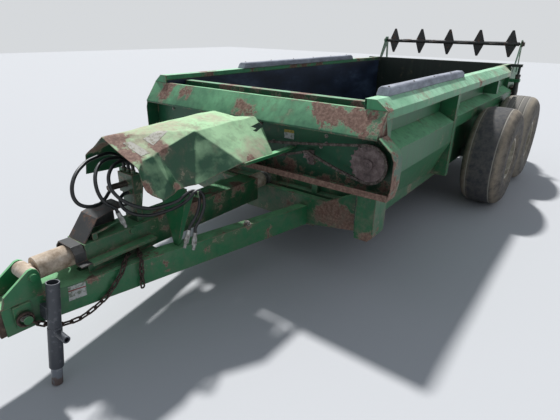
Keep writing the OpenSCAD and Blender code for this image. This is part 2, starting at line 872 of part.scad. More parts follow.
module tyre(x) {
    half = tyre_w / 2;
    bead = rim_r + seat;
    outer = [[bead, 166], [bead + 21, 169], [bead + 60, half - 12], [bead + 140, half], [tyre_r - 75, half - 8],
        [tyre_r - 16, half - 58], [tyre_r, half - 115]];
    inner = [[tyre_r - 45, half - 80], [bead, 150]];
    profile = concat(outer, [for (i = [6:-1:0]) [outer[i][0], -outer[i][1]]],
        [for (i = [1:-1:0]) [inner[i][0], -inner[i][1]]], inner);
    color(rubber)
    translate([x, track_y, axle_z]) rotate([90, 0, 0])
    rotate_extrude($fn = tyre_sides) polygon(profile);
}

module rim_front_left() { rim(axle_x[0]); }
module rim_front_right() { mirror([0, 1, 0]) rim(axle_x[0]); }
module rim_rear_left() { rim(axle_x[1]); }
module rim_rear_right() { mirror([0, 1, 0]) rim(axle_x[1]); }
module tyre_front_left() { tyre(axle_x[0]); }
module tyre_front_right() { mirror([0, 1, 0]) tyre(axle_x[0]); }
module tyre_rear_left() { tyre(axle_x[1]); }
module tyre_rear_right() { mirror([0, 1, 0]) tyre(axle_x[1]); }

// Push-off panel and its telescopic cylinder

panel_x = wall_x - ram_x;

module ram_panel() {
    half = in_y - liner_t - seat - clear;
    bottom = floor_z + clear;
    color(green) {
        block(panel_x - 8, panel_x, -half, half, bottom, ram_top);
        // Flange along the top, turned down in front
        block(panel_x, panel_x + 60, -half, half, ram_top - 6, ram_top);
        block(panel_x + 54, panel_x + 60, -half, half, ram_top - 70, ram_top);
        block(panel_x, panel_x + 60, -110, 110, bottom, ram_z + 90);
        for (y = [-half, -half * 0.55, half * 0.55 - 50, half - 50])
            block(panel_x, panel_x + 60, y, y + 50, bottom, ram_top - 6);
        block(panel_x, panel_x + 60, -half, half, bottom, bottom + 60);
        // Wear shoes that slide on the floor
        for (y = [-half + 10, -300, 220, half - 90])
            block(panel_x - 4, panel_x + 66, y, y + 80, floor_z + seat, bottom);
    }
}

// Ends of the nested stages: each one stands 20 mm further out at the rear and 40 mm further back in front
stage_travel = ram_travel / 3;
function stage_rear(i) = wall_x - 150 - 20 * i;
function stage_front(i) = wall_x + 290 + stage_travel - 40 * i;

module ram_plunger() {
    color(steel) {
        rod_x(panel_x + 84, stage_front(2), 0, ram_z, barrel_r - 28);
        rod_x(panel_x + 60 + seat, panel_x + 84, 0, ram_z, 60);
    }
}

module ram_barrel() {
    color(rust)
    difference() {
        union() {
            rod_x(wall_x - 130, nose_x - 44, 0, ram_z, barrel_r);
            rod_x(nose_x - 50, nose_x, 0, ram_z, 34);
            rod_y(-ear_in, ear_in, nose_x, ram_z, 40);
        }
        rod_y(-ear_in - 5, ear_in + 5, nose_x, ram_z, pin_r + run);
        rod_x(wall_x - 140, stage_front(0) + 20, 0, ram_z, barrel_r - 8 + run);
    }
}

// A stage is a tube, closed in front, that runs in the next larger one
module ram_stage(i) {
    r = barrel_r - 8 - 10 * i;
    color(steel)
    difference() {
        rod_x(stage_rear(i), stage_front(i), 0, ram_z, r);
        rod_x(stage_rear(i) - 10, stage_front(i + 1) + 20, 0, ram_z, r - 10 + run);
    }
}

module ram_stage_1() { ram_stage(0); }
module ram_stage_2() { ram_stage(1); }

// Cover of the telescopic cylinder: a hat section, with a channel along its front part
module ram_guard() {
    color(green) {
        along_x(wall_x + 10, guard_front)
            bent_sheet([[guard_y, beam_top], [guard_y, guard_top], [-guard_y, guard_top], [-guard_y, beam_top]], 4);
        both_sides()
            along_x(wall_x + 1050, guard_front) {
                bent_sheet([[lip_y, lip_z - 18], [lip_y, lip_z], [guard_y, lip_z]], 4);
                translate([guard_y, beam_top]) square([lip_y - guard_y - 10, 4]);
            }
        // Boss on the near wall
        rod_y(guard_y, guard_y + 14, wall_x + 1172, 655, 20);
    }
}

// Shield over the front of the drive line, open on the near side
module shaft_shield() {
    half = 80;
    foot = guard_top + seat;
    color(black)
    difference() {
        along_y(-half, half)
            polygon([[guard_front - 2, foot], [guard_front - 98, 800], [guard_front - 182, 820], [block_x + 120, 820],
                [block_x + 120, foot]]);
        along_y(6 - half, half + 1)
            polygon([[guard_front - 12, foot - 1], [guard_front - 102, 794], [guard_front - 182, 814],
                [block_x + 110, 814], [block_x + 110, foot - 1]]);
    }
}

// Hood over the drive line

hood_t = 4;

// Corners of the hood, from its front edge to the flange at its rear: the ridge, the near eave and the near
// foot of each section, as distance from the wall, side and height. The far half mirrors them.
hood_rows = [
    [[1214, 0, 1220], [1200, 250, 1065], [1190, 310, 930]],
    [[800, 0, 1225], [713, 180, 1192], [880, 330, 910]],
    [[430, 0, 1218], [430, 190, 1205], [564, 440, 1000]],
    [[142, 0, 1175], [170, 200, 1210], [335, 440, 1000]],
    [[136, 0, 1168], [140, 240, 1140], [261, 443, 1000]]];

// One section of the skin from the far foot to the near foot, moved in by a thickness
function hood_section(row, t) =
    [for (k = [[2, -1], [1, -1], [0, 1], [1, 1], [2, 1]])
        let (p = row[k[0]])
        [wall_x + p[0], k[1] * (p[1] > 0 ? p[1] - t : 0), p[2] - t]];

module hood() {
    rows = len(hood_rows);
    n = 5;
    points = concat([for (row = hood_rows) each hood_section(row, 0)],
        [for (row = hood_rows) each hood_section(row, hood_t)]);
    inner = n * rows;
    // Each panel folds from its eave in front to its foot behind
    skin = [for (r = [0:rows - 2], i = [0:n - 2])
        let (a = r * n + i, b = a + 1, c = a + n, d = b + n)
        each i < 2 ? [[a, b, c], [b, d, c]] : [[a, b, d], [a, d, c]]];
    rim = concat([for (i = [0:n - 2]) [i + 1, i]], [for (i = [0:n - 2]) [inner - n + i, inner - n + i + 1]],
        [for (r = [0:rows - 2]) [r * n, (r + 1) * n]], [for (r = [0:rows - 2]) [(r + 2) * n - 1, (r + 1) * n - 1]]);
    color(green)
    polyhedron(points, concat(skin, [for (f = skin) [f[0] + inner, f[2] + inner, f[1] + inner]],
        [for (e = rim) each [[e[0], e[1], e[0] + inner], [e[1], e[1] + inner, e[0] + inner]]]));
}

leg_x = 940;
hook_x = wall_x + leg_x - 4;
hook_z = 880;

// Legs under the hood's front part, bars under its rear feet, and the hook that the hoses hang over
module hood_legs() {
    share = (leg_x - hood_rows[1][2][0]) / (hood_rows[0][2][0] - hood_rows[1][2][0]);
    foot = hood_rows[1][2] + share * (hood_rows[0][2] - hood_rows[1][2]);
    rear_foot = hood_rows[2][2];
    top = foot[2] - hood_t - seat;
    bar_top = rear_foot[2] - hood_t - seat;
    leg_foot = 216;
    leg_out = foot[1] + 5;
    lean = atan2(leg_out - leg_foot, top - 30 - beam_top);
    edge = (top - 30 - beam_top) / cos(lean);
    color(green) {
        both_sides() {
            along_x(wall_x + leg_x, wall_x + leg_x + 8)
                polygon([[leg_foot - 40, beam_top], [leg_foot, beam_top], [leg_out, top - 30], [leg_out, top],
                    [70, top]]);
            // Second face of the leg, along its outer edge
            translate([wall_x + leg_x, leg_foot, beam_top]) rotate([-lean, 0, 0])
                along_y(-6, -1) polygon([[4, 2], [-10, 2], [-62, edge - 2], [4, edge - 2]]);
            block(wall_x + 4 + seat, wall_x + rear_foot[0] - 4, rear_foot[1] - 40, rear_foot[1] + 6,
                bar_top - 20, bar_top);
        }
        rod_y(290, 425, hook_x, hook_z, 5);
        rod_z(hook_z - 5, hook_z + 32, hook_x, 420, 5);
    }
}

// Hoses

// A tube along a route, with a ring of corners at each of its points
tube_sides = 8;
function along(p, i) = unit(p[min(i + 1, len(p) - 1)] - p[max(i - 1, 0)]);
// A direction square to the route, carried from ring to ring so that the tube doesn't twist
function square_to(t, v) = unit(v - t * (t * v));
function frames(p, i = 0, v = [0, 1, 0]) =
    let (w = square_to(along(p, i), v))
    concat([w], i < len(p) - 1 ? frames(p, i + 1, w) : []);

module tube(p, r) {
    n = len(p);
    side = frames(p);
    points = [for (i = [0:n - 1], k = [0:tube_sides - 1])
        let (angle = 360 * k / tube_sides)
        p[i] + r * (side[i] * cos(angle) + cross(along(p, i), side[i]) * sin(angle))];
    walls = [for (i = [0:n - 2], k = [0:tube_sides - 1])
        let (a = i * tube_sides + k, b = i * tube_sides + (k + 1) % tube_sides)
        each [[a, b + tube_sides, b], [a, a + tube_sides, b + tube_sides]]];
    polyhedron(points, concat(walls, [[for (k = [0:tube_sides - 1]) k]],
        [[for (k = [tube_sides - 1:-1:0]) (n - 1) * tube_sides + k]]));
}

hose_r = 10;
function from_wall(route) = [for (p = route) p + [wall_x, 0, 0]];

// From the block's top, forward over the shaft and back to its front face
hose_route_1 = from_wall([
    [1090, -45, 1002], [1090, -45, 1035], [1109, -47, 1070], [1145, -50, 1095], [1195, -50, 1104],
    [1305, -26, 1096], [1359, 2, 1086], [1409, 32, 1070], [1450, 60, 1044],
    [1477, 82, 1008], [1485, 96, 965], [1469, 100, 925], [1435, 98, 898], [1391, 86, 880],
    [1343, 62, 868], [1295, 26, 862], [1249, -12, 866], [1207, -40, 880], [1171, -50, 893], [1142, -50, 893]]);
// From the block's top to a coupler that hangs beside the shield
hose_route_2 = from_wall([
    [1090, 0, 1002], [1090, 0, 1030], [1107, 0, 1058], [1140, 0, 1077], [1185, 0, 1086],
    [1230, 4, 1086], [1270, 16, 1076], [1305, 38, 1058], [1335, 65, 1032], [1353, 90, 998],
    [1359, 110, 960], [1351, 122, 922], [1332, 128, 890], [1305, 132, 866], [1284, 131, 845], [1275, 131, 820]]);
// From the block's top, out to the near side and over the hook
hose_route_3 = from_wall([
    [1090, 45, 1002], [1090, 45, 1030], [1113, 43, 1058], [1151, 42, 1070], [1197, 46, 1064],
    [1239, 62, 1044], [1273, 88, 1016], [1293, 122, 980], [1295, 160, 944], [1279, 200, 910],
    [1245, 236, 880], [1197, 266, 856], [1141, 290, 844], [1029, 332, 856],
    [983, 348, 880], [936, 360, 900], [897, 368, 884], [885, 372, 842], [893, 373, 796],
    [911, 374, 758], [937, 375, 728], [976, 375, 692], [984, 375, 674]]);
// From the block's front face, lower down, out to the hook too
hose_route_4 = from_wall([
    [1142, 50, 878], [1171, 50, 878], [1203, 64, 868], [1227, 92, 852], [1235, 124, 832],
    [1225, 156, 812], [1197, 184, 794], [1157, 208, 782], [1113, 230, 777], [1031, 284, 796],
    [1005, 326, 822], [988, 366, 852], [970, 388, 880], [940, 393, 902], [908, 396, 900], [882, 398, 874],
    [874, 399, 832], [880, 399, 790], [899, 396, 748], [923, 395, 714], [950, 394, 684], [956, 394, 654]]);

module hose(route) {
    color(black) tube(route, hose_r);
}

module hose_1() { hose(hose_route_1); }
module hose_2() { hose(hose_route_2); }
module hose_3() { hose(hose_route_3); }
module hose_4() { hose(hose_route_4); }

// A quick coupler on a hose's end: ferrule, body and plug, one after the other
module coupler(route) {
    last = len(route) - 1;
    aim(route[last], route[last] - route[last - 1]) {
        cylinder(h = 34, r = 13);
        translate([0, 0, 34]) cylinder(h = 44, r = 16, $fn = 6);
        translate([0, 0, 78]) cylinder(h = 32, r = 10);
    }
}

module hose_couplers() {
    color(steel) {
        coupler(hose_route_2);
        coupler(hose_route_3);
        coupler(hose_route_4);
    }
}

// Safety chains

safety_pitch = 46;
safety_wire = 9;
safety_half = 16;

// Point of a route at a distance along it
function point_at(p, s, i = 0) =
    let (d = norm(p[i + 1] - p[i]))
    s <= d || i == len(p) - 2 ? p[i] + (p[i + 1] - p[i]) * s / d : point_at(p, s - d, i + 1);
function route_len(p) = [for (i = [0:len(p) - 2]) norm(p[i + 1] - p[i])] * [for (i = [0:len(p) - 2]) 1];

module safety_link() {
    long = safety_pitch / 2 + safety_wire;
    hole = safety_half - safety_wire;
    difference() {
        polygon([[-safety_half, 8 - long], [0, -long], [safety_half, 8 - long], [safety_half, long - 8],
            [0, long], [-safety_half, long - 8]]);
        polygon([[-hole, 14 - long], [0, safety_wire - long], [hole, 14 - long], [hole, long - 14],
            [0, long - safety_wire], [-hole, long - 14]]);
    }
}

// A hanging chain: every other link is turned by a quarter
module safety_chain(route) {
    links = round(route_len(route) / safety_pitch);
    step = route_len(route) / links;
    for (i = [0:links - 1])
        let (a = point_at(route, i * step), b = point_at(route, (i + 1) * step))
        aim((a + b) / 2, b - a) rotate([90, 0, 90 * (i % 2)])
        translate([0, 0, -safety_wire / 2]) linear_extrude(safety_wire) safety_link();
}

safety_route_1 = from_wall([
    [1225, 97.5, 524], [1285, 150, 526], [1315, 186, 523], [1337, 200, 494], [1375, 185, 440], [1435, 170, 366],
    [1515, 146, 312], [1595, 126, 282], [1675, 109, 288], [1745, 103, 325], [1807, 104, 385], [1820, 105, 401]]);
safety_route_2 = from_wall([
    [1160, 99, 523], [1197, 170, 526], [1215, 208, 522], [1230, 224, 494], [1231, 216, 420], [1233, 213, 340]]);

module safety_chains() {
    color(rust) {
        safety_chain(safety_route_1);
        safety_chain(safety_route_2);
    }
}

// Jack

leg_r = 28;
stub_z = 324;

module jack_pose() {
    translate([wall_x + jack_x, 168, 0]) rotate([0, -jack_lean, 0]) children();
}

module jack_sleeve() {
    color(steel) {
        difference() {
            union() {
                jack_pose() {
                    translate([0, 0, 110]) cylinder(h = 235, r = jack_r);
                    translate([0, 0, 345]) cylinder(h = jack_travel + 5, r = jack_r - 3);
                    // Mounting pad against the side of the tongue
                    translate([-30, -100, 385]) cube([60, 80, 70]);
                    // Stub tube for the stowed position
                    translate([0, 0, stub_z]) rotate([-90, 0, 0]) cylinder(h = 118, r = 19);
                }
            }
            jack_pose() {
                translate([0, 0, 100]) cylinder(h = 520, r = leg_r + run);
                translate([0, jack_r + 12, stub_z]) rotate([-90, 0, 0]) cylinder(h = 118, r = 12);
            }
            tongue_body();
        }
    }
}

module jack_leg() {
    // The foot is cut so that the leaning leg stands on its edge
    foot = leg_r * tan(jack_lean);
    color(steel)
    jack_pose()
    difference() {
        translate([0, 0, foot]) cylinder(h = 330, r = leg_r);
        translate([0, 0, foot - 1]) cylinder(h = 332, r = leg_r - 6);
    }
}

side_sheets();
side_rails();
rail_caps();
front_wall();
chain_tray();
floor_frame();
wall_liners();
shaft_cover();
side_posts();
gate_guides();
gate_cylinders();
endgate();
beater_plates();
beater_bearings();
main_beater();
upper_beater();
rear_drive_case();
large_sprocket();
chain_idler();
drive_chain();
input_shaft();
front_posts();
cross_member();
tongue();
hitch();
jack_sleeve();
jack_leg();
safety_chains();
ram_panel();
ram_plunger();
ram_barrel();
ram_stage_1();
ram_stage_2();
ram_guard();
ram_strap();
shaft_shield();
bearing_block();
hood();
hood_legs();
walking_beams();
rim_front_left();
rim_front_right();
rim_rear_left();
rim_rear_right();
tyre_front_left();
tyre_front_right();
tyre_rear_left();
tyre_rear_right();
hose_1();
hose_2();
hose_3();
hose_4();
hose_couplers();
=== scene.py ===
import bmesh
import bpy
import json
from math import asin, atan2, cos, pi, radians, sin
from mathutils import Matrix, Vector, noise


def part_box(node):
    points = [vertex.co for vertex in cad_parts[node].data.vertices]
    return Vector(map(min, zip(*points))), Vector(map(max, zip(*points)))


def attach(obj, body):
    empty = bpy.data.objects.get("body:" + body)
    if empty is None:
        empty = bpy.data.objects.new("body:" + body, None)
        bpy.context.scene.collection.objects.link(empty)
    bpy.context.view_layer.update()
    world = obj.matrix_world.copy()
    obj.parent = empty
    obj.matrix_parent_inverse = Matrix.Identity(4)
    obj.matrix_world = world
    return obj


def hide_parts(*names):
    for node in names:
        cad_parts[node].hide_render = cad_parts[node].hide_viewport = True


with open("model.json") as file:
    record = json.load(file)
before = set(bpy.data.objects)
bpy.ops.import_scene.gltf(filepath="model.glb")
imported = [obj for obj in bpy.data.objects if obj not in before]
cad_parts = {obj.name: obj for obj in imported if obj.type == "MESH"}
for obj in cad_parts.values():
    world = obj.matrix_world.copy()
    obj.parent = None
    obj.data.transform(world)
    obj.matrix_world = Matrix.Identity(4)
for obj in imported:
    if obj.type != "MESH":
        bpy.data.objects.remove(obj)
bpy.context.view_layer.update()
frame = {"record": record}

# Front wall of the box, which most places along the machine are counted from. The spreader is drawn
# in metres, with its front towards +X, the beater drive on the +Y side and the ground at zero.
wall_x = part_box("front_wall")[1][0]

# Camera
# A hand-held wide lens at eye height, off the near front corner of the machine. The sensor is as wide
# as a full frame and the photograph 560 pixels wide.
focal_px, photo_px = 420.928, 560
camera_at = (wall_x + 2.45262, 2.13516, 1.77197)
heading, pitch, roll = radians(216.69065), radians(23.27355), radians(-1.02918)
ahead = Vector((cos(heading) * cos(pitch), sin(heading) * cos(pitch), -sin(pitch)))
level = Vector((sin(heading), -cos(heading), 0))
down = ahead.cross(level)
right = level * cos(roll) + down * sin(roll)
up = level * sin(roll) - down * cos(roll)
lens = bpy.data.cameras.new("camera")
lens.sensor_width = 36
lens.lens = lens.sensor_width * focal_px / photo_px
camera = bpy.data.objects.new("camera", lens)
camera.matrix_world = Matrix.Translation(camera_at) @ Matrix((right, up, -ahead)).transposed().to_4x4()
bpy.context.collection.objects.link(camera)
bpy.context.scene.camera = camera
bpy.context.scene.view_settings.view_transform = "Standard"


# Hoses
# Wire-braided hydraulic hoses of 20 mm with a smooth black rubber cover. They leave the block at the
# front of the drive line, loop forward and come back over a hook on the near leg of the hood.
def colour(code):
    """A colour written in sRGB, as the linear values that a shader takes."""
    parts = [int(code[i:i + 2], 16) / 255 for i in (1, 3, 5)]
    return [c / 12.92 if c <= 0.04045 else ((c + 0.055) / 1.055) ** 2.4 for c in parts] + [1]


def add(tree, kind, inputs=None, stops=(), **settings):
    """Adds a node with its settings, its ramp's stops and its inputs.

    A shader node goes by its short kind. An input is a value, a colour's code, a socket, a node that
    stands for its first output in use, or a list of those for an input that takes several.
    """
    made = tree.nodes.new(kind if "Node" in kind else "ShaderNode" + kind)
    for name, value in settings.items():
        setattr(made, name, value)
    for k, (place, tint) in enumerate(stops):
        ramp = made.color_ramp.elements
        element = ramp[k] if k < len(ramp) else ramp.new(1)
        element.position = place
        element.color = colour(tint)
    for name, given_values in (inputs or {}).items():
        for value in given_values if isinstance(given_values, list) else [given_values]:
            if isinstance(value, bpy.types.Node):
                value = next(socket for socket in value.outputs if socket.enabled)
            if isinstance(value, bpy.types.NodeSocket):
                tree.links.new(value, made.inputs[name])
            else:
                coded = isinstance(value, str) and value[0] == "#"
                made.inputs[name].default_value = colour(value) if coded else value
    return made


def new_material(name):
    """A material with its tree emptied, and its object coordinates."""
    made = bpy.data.materials.new(name)
    made.use_nodes = True
    made.node_tree.nodes.clear()
    return made, made.node_tree, add(made.node_tree, "TexCoord").outputs["Object"]


def surfaced(made, surface, height=None, rise=0.002, strength=0.4):
    """The material, ended with its surface shader and with a relief that rises so many metres."""
    tree = made.node_tree
    if height:
        surface["Normal"] = add(tree, "Bump", {"Height": height, "Distance": rise, "Strength": strength})
    add(tree, "OutputMaterial", {"Surface": add(tree, "BsdfPrincipled", surface)})
    return made


def hose_rubber():
    """Extruded nitrile rubber: smooth, half glossy, with pale dust lying along its upper side."""
    made, tree, place = new_material("hose_rubber")
    dust = add(tree, "TexNoise", {"Vector": place, "Scale": 22, "Detail": 5})
    upward = add(tree, "SeparateXYZ", {0: add(tree, "NewGeometry").outputs["Normal"]}).outputs["Z"]
    share = add(tree, "Math", {0: dust, 1: upward}, operation="MULTIPLY")
    return surfaced(made, {
        "Base Color": add(tree, "ValToRGB", {0: share}, [(0.2, "#15171a"), (0.62, "#3f4245")]),
        "Roughness": add(tree, "MapRange", {"Value": dust, "To Min": 0.28, "To Max": 0.5})})


hose_d = 0.020
# Places along each route in millimetres: from the front wall, from the middle, and up from the ground
hose_routes = {
    "hose_1": [
        (1090, -45, 1002), (1090, -45, 1035), (1109, -47, 1070), (1145, -50, 1095), (1195, -50, 1104),
        (1305, -26, 1096), (1359, 2, 1086), (1409, 32, 1070), (1450, 60, 1044), (1477, 82, 1008),
        (1485, 96, 965), (1469, 100, 925), (1435, 98, 898), (1391, 86, 880), (1343, 62, 868),
        (1295, 26, 862), (1249, -12, 866), (1207, -40, 880), (1171, -50, 893), (1142, -50, 893)],
    "hose_2": [
        (1090, 0, 1002), (1090, 0, 1030), (1107, 0, 1058), (1140, 0, 1077), (1185, 0, 1086),
        (1230, 4, 1086), (1270, 16, 1076), (1305, 38, 1058), (1335, 65, 1032), (1353, 90, 998),
        (1359, 110, 960), (1351, 122, 922), (1332, 128, 890), (1305, 132, 866), (1284, 131, 845),
        (1275, 131, 820)],
    "hose_3": [
        (1090, 45, 1002), (1090, 45, 1030), (1113, 43, 1058), (1151, 42, 1070), (1197, 46, 1064),
        (1239, 62, 1044), (1273, 88, 1016), (1293, 122, 980), (1295, 160, 944), (1279, 200, 910),
        (1245, 236, 880), (1197, 266, 856), (1141, 290, 844), (1029, 332, 856), (983, 348, 880),
        (936, 360, 900), (897, 368, 884), (885, 372, 842), (893, 373, 796), (911, 374, 758),
        (937, 375, 728), (976, 375, 692), (984, 375, 674)],
    "hose_4": [
        (1142, 50, 878), (1171, 50, 878), (1203, 64, 868), (1227, 92, 852), (1235, 124, 832),
        (1225, 156, 812), (1197, 184, 794), (1157, 208, 782), (1113, 230, 777), (1031, 284, 796),
        (1005, 326, 822), (988, 366, 852), (970, 388, 880), (940, 393, 902), (908, 396, 900),
        (882, 398, 874), (874, 399, 832), (880, 399, 790), (899, 396, 748), (923, 395, 714),
        (950, 394, 684), (956, 394, 654)],
}


def place_mm(x, y, z):
    """A place in metres, from millimetres counted from the front wall, the middle and the ground."""
    return Vector((wall_x + x / 1000, y / 1000, z / 1000))


def smooth(points, steps):
    """A line through the points that turns evenly from each one to the next, in steps between them."""
    line = []
    for i in range(len(points) - 1):
        before, start, end = points[max(i - 1, 0)], points[i], points[i + 1]
        after = points[min(i + 2, len(points) - 1)]
        for k in range(steps):
            t = k / steps
            line.append(0.5 * (2 * start + (end - before) * t + (2 * before - 5 * start + 4 * end - after) * t * t
                               + (3 * start - before - 3 * end + after) * t ** 3))
    return line + [points[-1]]


def show(mesh, name, material):
    """A piece made of a mesh, with its material."""
    piece = bpy.data.objects.new(name, mesh)
    bpy.context.collection.objects.link(piece)
    mesh.materials.clear()
    mesh.materials.append(material)
    return piece


rubber_cover = hose_rubber()
for name, route in hose_routes.items():
    line = smooth([place_mm(*at) for at in route], 6)
    curve = bpy.data.curves.new(name + "_cover", "CURVE")
    curve.dimensions = "3D"
    curve.bevel_depth = hose_d / 2
    curve.bevel_resolution = 4
    curve.use_fill_caps = True
    spline = curve.splines.new("POLY")
    spline.points.add(len(line) - 1)
    for point, at in zip(spline.points, line):
        point.co = (*at, 1)
    spline.use_smooth = True
    hose = show(curve, name + "_cover", rubber_cover)
    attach(hose, "root")
    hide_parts(name)


# Floor and light
# A pale plain floor, an even sky and one broad soft lamp from behind the far side, as the sun stands.
# The eye sees a paler floor and sky than the object is lit by, so that its shade keeps its depth.
def seen_share(tree):
    """Whether a ray is one that the eye sees by, straight, in a shine or through glass."""
    ray = add(tree, "LightPath").outputs
    seen = add(tree, "Math", {0: ray["Is Camera Ray"], 1: ray["Is Glossy Ray"]}, operation="MAXIMUM")
    return add(tree, "Math", {0: seen, 1: ray["Is Transmission Ray"]}, operation="MAXIMUM")


ground = bpy.data.meshes.new("floor")
reach = 30
ground.from_pydata([(-reach, -reach, 0), (reach, -reach, 0), (reach, reach, 0), (-reach, reach, 0)], [],
                   [(0, 1, 2, 3)])
floor_piece = bpy.data.objects.new("floor", ground)
bpy.context.collection.objects.link(floor_piece)
floor_finish, tree, place = new_material("studio_floor")
floor_tint = add(tree, "Mix", {0: seen_share(tree), 6: "#b4b6b9", 7: "#cbccce"}, data_type="RGBA")
ground.materials.append(surfaced(floor_finish, {"Base Color": floor_tint, "Roughness": 0.9}))
sky = bpy.data.worlds.new("sky")
bpy.context.scene.world = sky
sky.use_nodes = True
tree = sky.node_tree
tree.nodes.clear()
lit_by = add(tree, "Background", {"Color": "#d8e2f0", "Strength": 0.4})
looks = add(tree, "Background", {"Color": "#e6e9ec", "Strength": 0.85})
both = add(tree, "MixShader", {0: seen_share(tree), 1: lit_by, 2: looks})
add(tree, "OutputWorld", {"Surface": both})
lamp = bpy.data.lights.new("sun", "SUN")
lamp.energy = 3.6
lamp.angle = radians(4)
lamp_piece = bpy.data.objects.new("sun", lamp)
lamp_piece.rotation_euler = Vector((-0.36, -0.42, 0.83)).to_track_quat("Z", "Y").to_euler()
bpy.context.collection.objects.link(lamp_piece)


# Sides, posts and rails of the box
# Mild steel sheet of 3 mm, folded and welded, under green enamel that the sun has bleached. Faces that turn up are
# painted paler, both as sun fading and as painted sunlight. Each fold and edge is rounded, and years of loading
# have left the sheets slightly wavy.
def edge_wear(tree, radius, start, full, most=1.0):
    """How far a place lies on a worn edge, from how its rounded normal turns away: up to most."""
    normal = add(tree, "NewGeometry").outputs["Normal"]
    rounded = add(tree, "Bevel", {"Radius": radius}, samples=4)
    turned = add(tree, "VectorMath", {0: rounded, 1: normal}, operation="DOT_PRODUCT")
    return add(tree, "MapRange", {"Value": turned, "From Min": start, "From Max": full, "To Max": most})


def enamel(name, sound_and_shaded="#276d45", bleached_and_lit="#84c795", rust_share=0.5, mud=0.3, gloss=0.4, streaks=0.45,
           top_light_fading=(0.7, 0.74, 1.18), spots=()):
    """Sprayed enamel on steel: chalky where it faces up, chipped through cream primer to brown rust.

    Top light fading is the weight of facing up, and where the colour starts and ends to pale: sun fading, with
    painted light on top faces and painted shade on upright ones. Spots are places that have rusted most,
    in millimetres from the wall, the middle and the ground, each with its reach.
    """
    made, tree, place = new_material(name)
    up_part = add(tree, "SeparateXYZ", {0: add(tree, "NewGeometry").outputs["Normal"]}).outputs["Z"]
    # Clouds of fading, half a metre across, and paler paint on faces that turn up: sun fading, and painted sunlight
    # on top faces
    clouds = add(tree, "TexNoise", {"Vector": place, "Scale": 2.6, "Detail": 5, "Roughness": 0.65})
    faded_and_lit = add(tree, "Math", {0: up_part, 1: top_light_fading[0], 2: clouds}, operation="MULTIPLY_ADD")
    fade_and_top_light = add(tree, "MapRange", {"Value": faded_and_lit, "From Min": top_light_fading[1], "From Max": top_light_fading[2]})
    coat = add(tree, "Mix", {0: fade_and_top_light, 6: sound_and_shaded, 7: bleached_and_lit}, data_type="RGBA")
    # Chalked cream where sun, hands and labels have worn the colour off
    chalk = add(tree, "Attribute", attribute_name="chalk").outputs["Fac"]
    rubbed = add(tree, "TexNoise", {"Vector": place, "Scale": 16, "Detail": 8, "Roughness": 0.72})
    chalky = add(tree, "Math", {0: chalk, 1: 0.42, 2: rubbed}, operation="MULTIPLY_ADD")
    pale = add(tree, "MapRange", {"Value": chalky, "From Min": 0.64, "From Max": 0.98, "To Max": 0.85})
    coat = add(tree, "Mix", {0: pale, 6: coat, 7: "#bbae96"}, data_type="RGBA")
    # Streaks that rain has drawn downwards, a few centimetres apart
    drawn = add(tree, "Mapping", {"Vector": place, "Scale": (24, 24, 2)})
    runs = add(tree, "TexNoise", {"Vector": drawn, "Scale": 1, "Detail": 5, "Roughness": 0.65})
    run_share = add(tree, "MapRange", {"Value": runs, "From Min": 0.48, "From Max": 0.78, "To Max": streaks})
    coat = add(tree, "Mix", {0: run_share, 6: coat, 7: "#39463c"}, data_type="RGBA")
    # Chips start at edges and scratches, and spread as islands 5 to 100 mm across
    grain = add(tree, "TexNoise", {"Vector": place, "Scale": 8, "Detail": 9, "Roughness": 0.68})
    edge = edge_wear(tree, 0.012, 0.995, 0.8)
    chipping = add(tree, "Math", {0: edge, 1: 0.19, 2: grain}, operation="MULTIPLY_ADD")
    patchy = add(tree, "TexNoise", {"Vector": place, "Scale": 1.7, "Detail": 2})
    share = add(tree, "Math", {0: patchy, 1: 0.42, 2: chipping}, operation="MULTIPLY_ADD")
    bare = add(tree, "Attribute", attribute_name="bare").outputs["Fac"]
    share = add(tree, "Math", {0: bare, 1: 0.3, 2: share}, operation="MULTIPLY_ADD")
    # The places that have rusted most have ragged outlines
    ragged_by = add(tree, "TexNoise", {"Vector": place, "Scale": 14, "Detail": 5, "Roughness": 0.7})
    shaken = add(tree, "VectorMath", {0: ragged_by.outputs["Color"], 1: (0.5, 0.5, 0.5)}, operation="SUBTRACT")
    pulled = add(tree, "VectorMath", {0: shaken, 1: (0.3, 0.3, 0.3), 2: place}, operation="MULTIPLY_ADD")
    for x, y, z, wide in spots:
        gap = add(tree, "VectorMath", {0: pulled, 1: place_mm(x, y, z)}, operation="DISTANCE")
        near = add(tree, "MapRange", {"Value": gap, "From Min": wide / 1000, "From Max": 0, "To Max": 0.36})
        share = add(tree, "Math", {0: share, 1: near})
    level_at = 1.05 - 0.3 * rust_share
    # A brown stain bleeds out of the rust, and pale primer shows round each chip
    bled = add(tree, "MapRange", {"Value": share, "From Min": level_at - 0.16, "From Max": level_at,
                                  "To Max": 0.5})
    coat = add(tree, "Mix", {0: bled, 6: coat, 7: "#6d6150"}, data_type="RGBA")
    speckle = add(tree, "TexNoise", {"Vector": place, "Scale": 48, "Detail": 7, "Roughness": 0.62})
    ragged = add(tree, "Math", {0: speckle, 1: 0.17, 2: share}, operation="MULTIPLY_ADD")
    primer = add(tree, "MapRange", {"Value": ragged, "From Min": level_at + 0.04, "From Max": level_at + 0.06,
                                    "To Max": 0.35})
    coat = add(tree, "Mix", {0: primer, 6: coat, 7: "#bfc0a2"}, data_type="RGBA")
    rusty = add(tree, "MapRange", {"Value": ragged, "From Min": level_at + 0.06, "From Max": level_at + 0.11})
    rust = add(tree, "ValToRGB", {0: speckle}, [(0.32, "#654c41"), (0.5, "#836558"), (0.68, "#a08474")])
    coat = add(tree, "Mix", {0: rusty, 6: coat, 7: rust}, data_type="RGBA")
    # Painted shade: the paint darkens in corners and where sheets meet, by how shut in each place is
    open_share = add(tree, "AmbientOcclusion", {"Distance": 0.12}, samples=4).outputs["AO"]
    corner_shade = add(tree, "MapRange", {"Value": open_share, "From Min": 0.75, "From Max": 0.2, "To Max": 0.6})
    coat = add(tree, "Mix", {0: corner_shade, 6: coat, 7: "#1f2a22"}, data_type="RGBA")
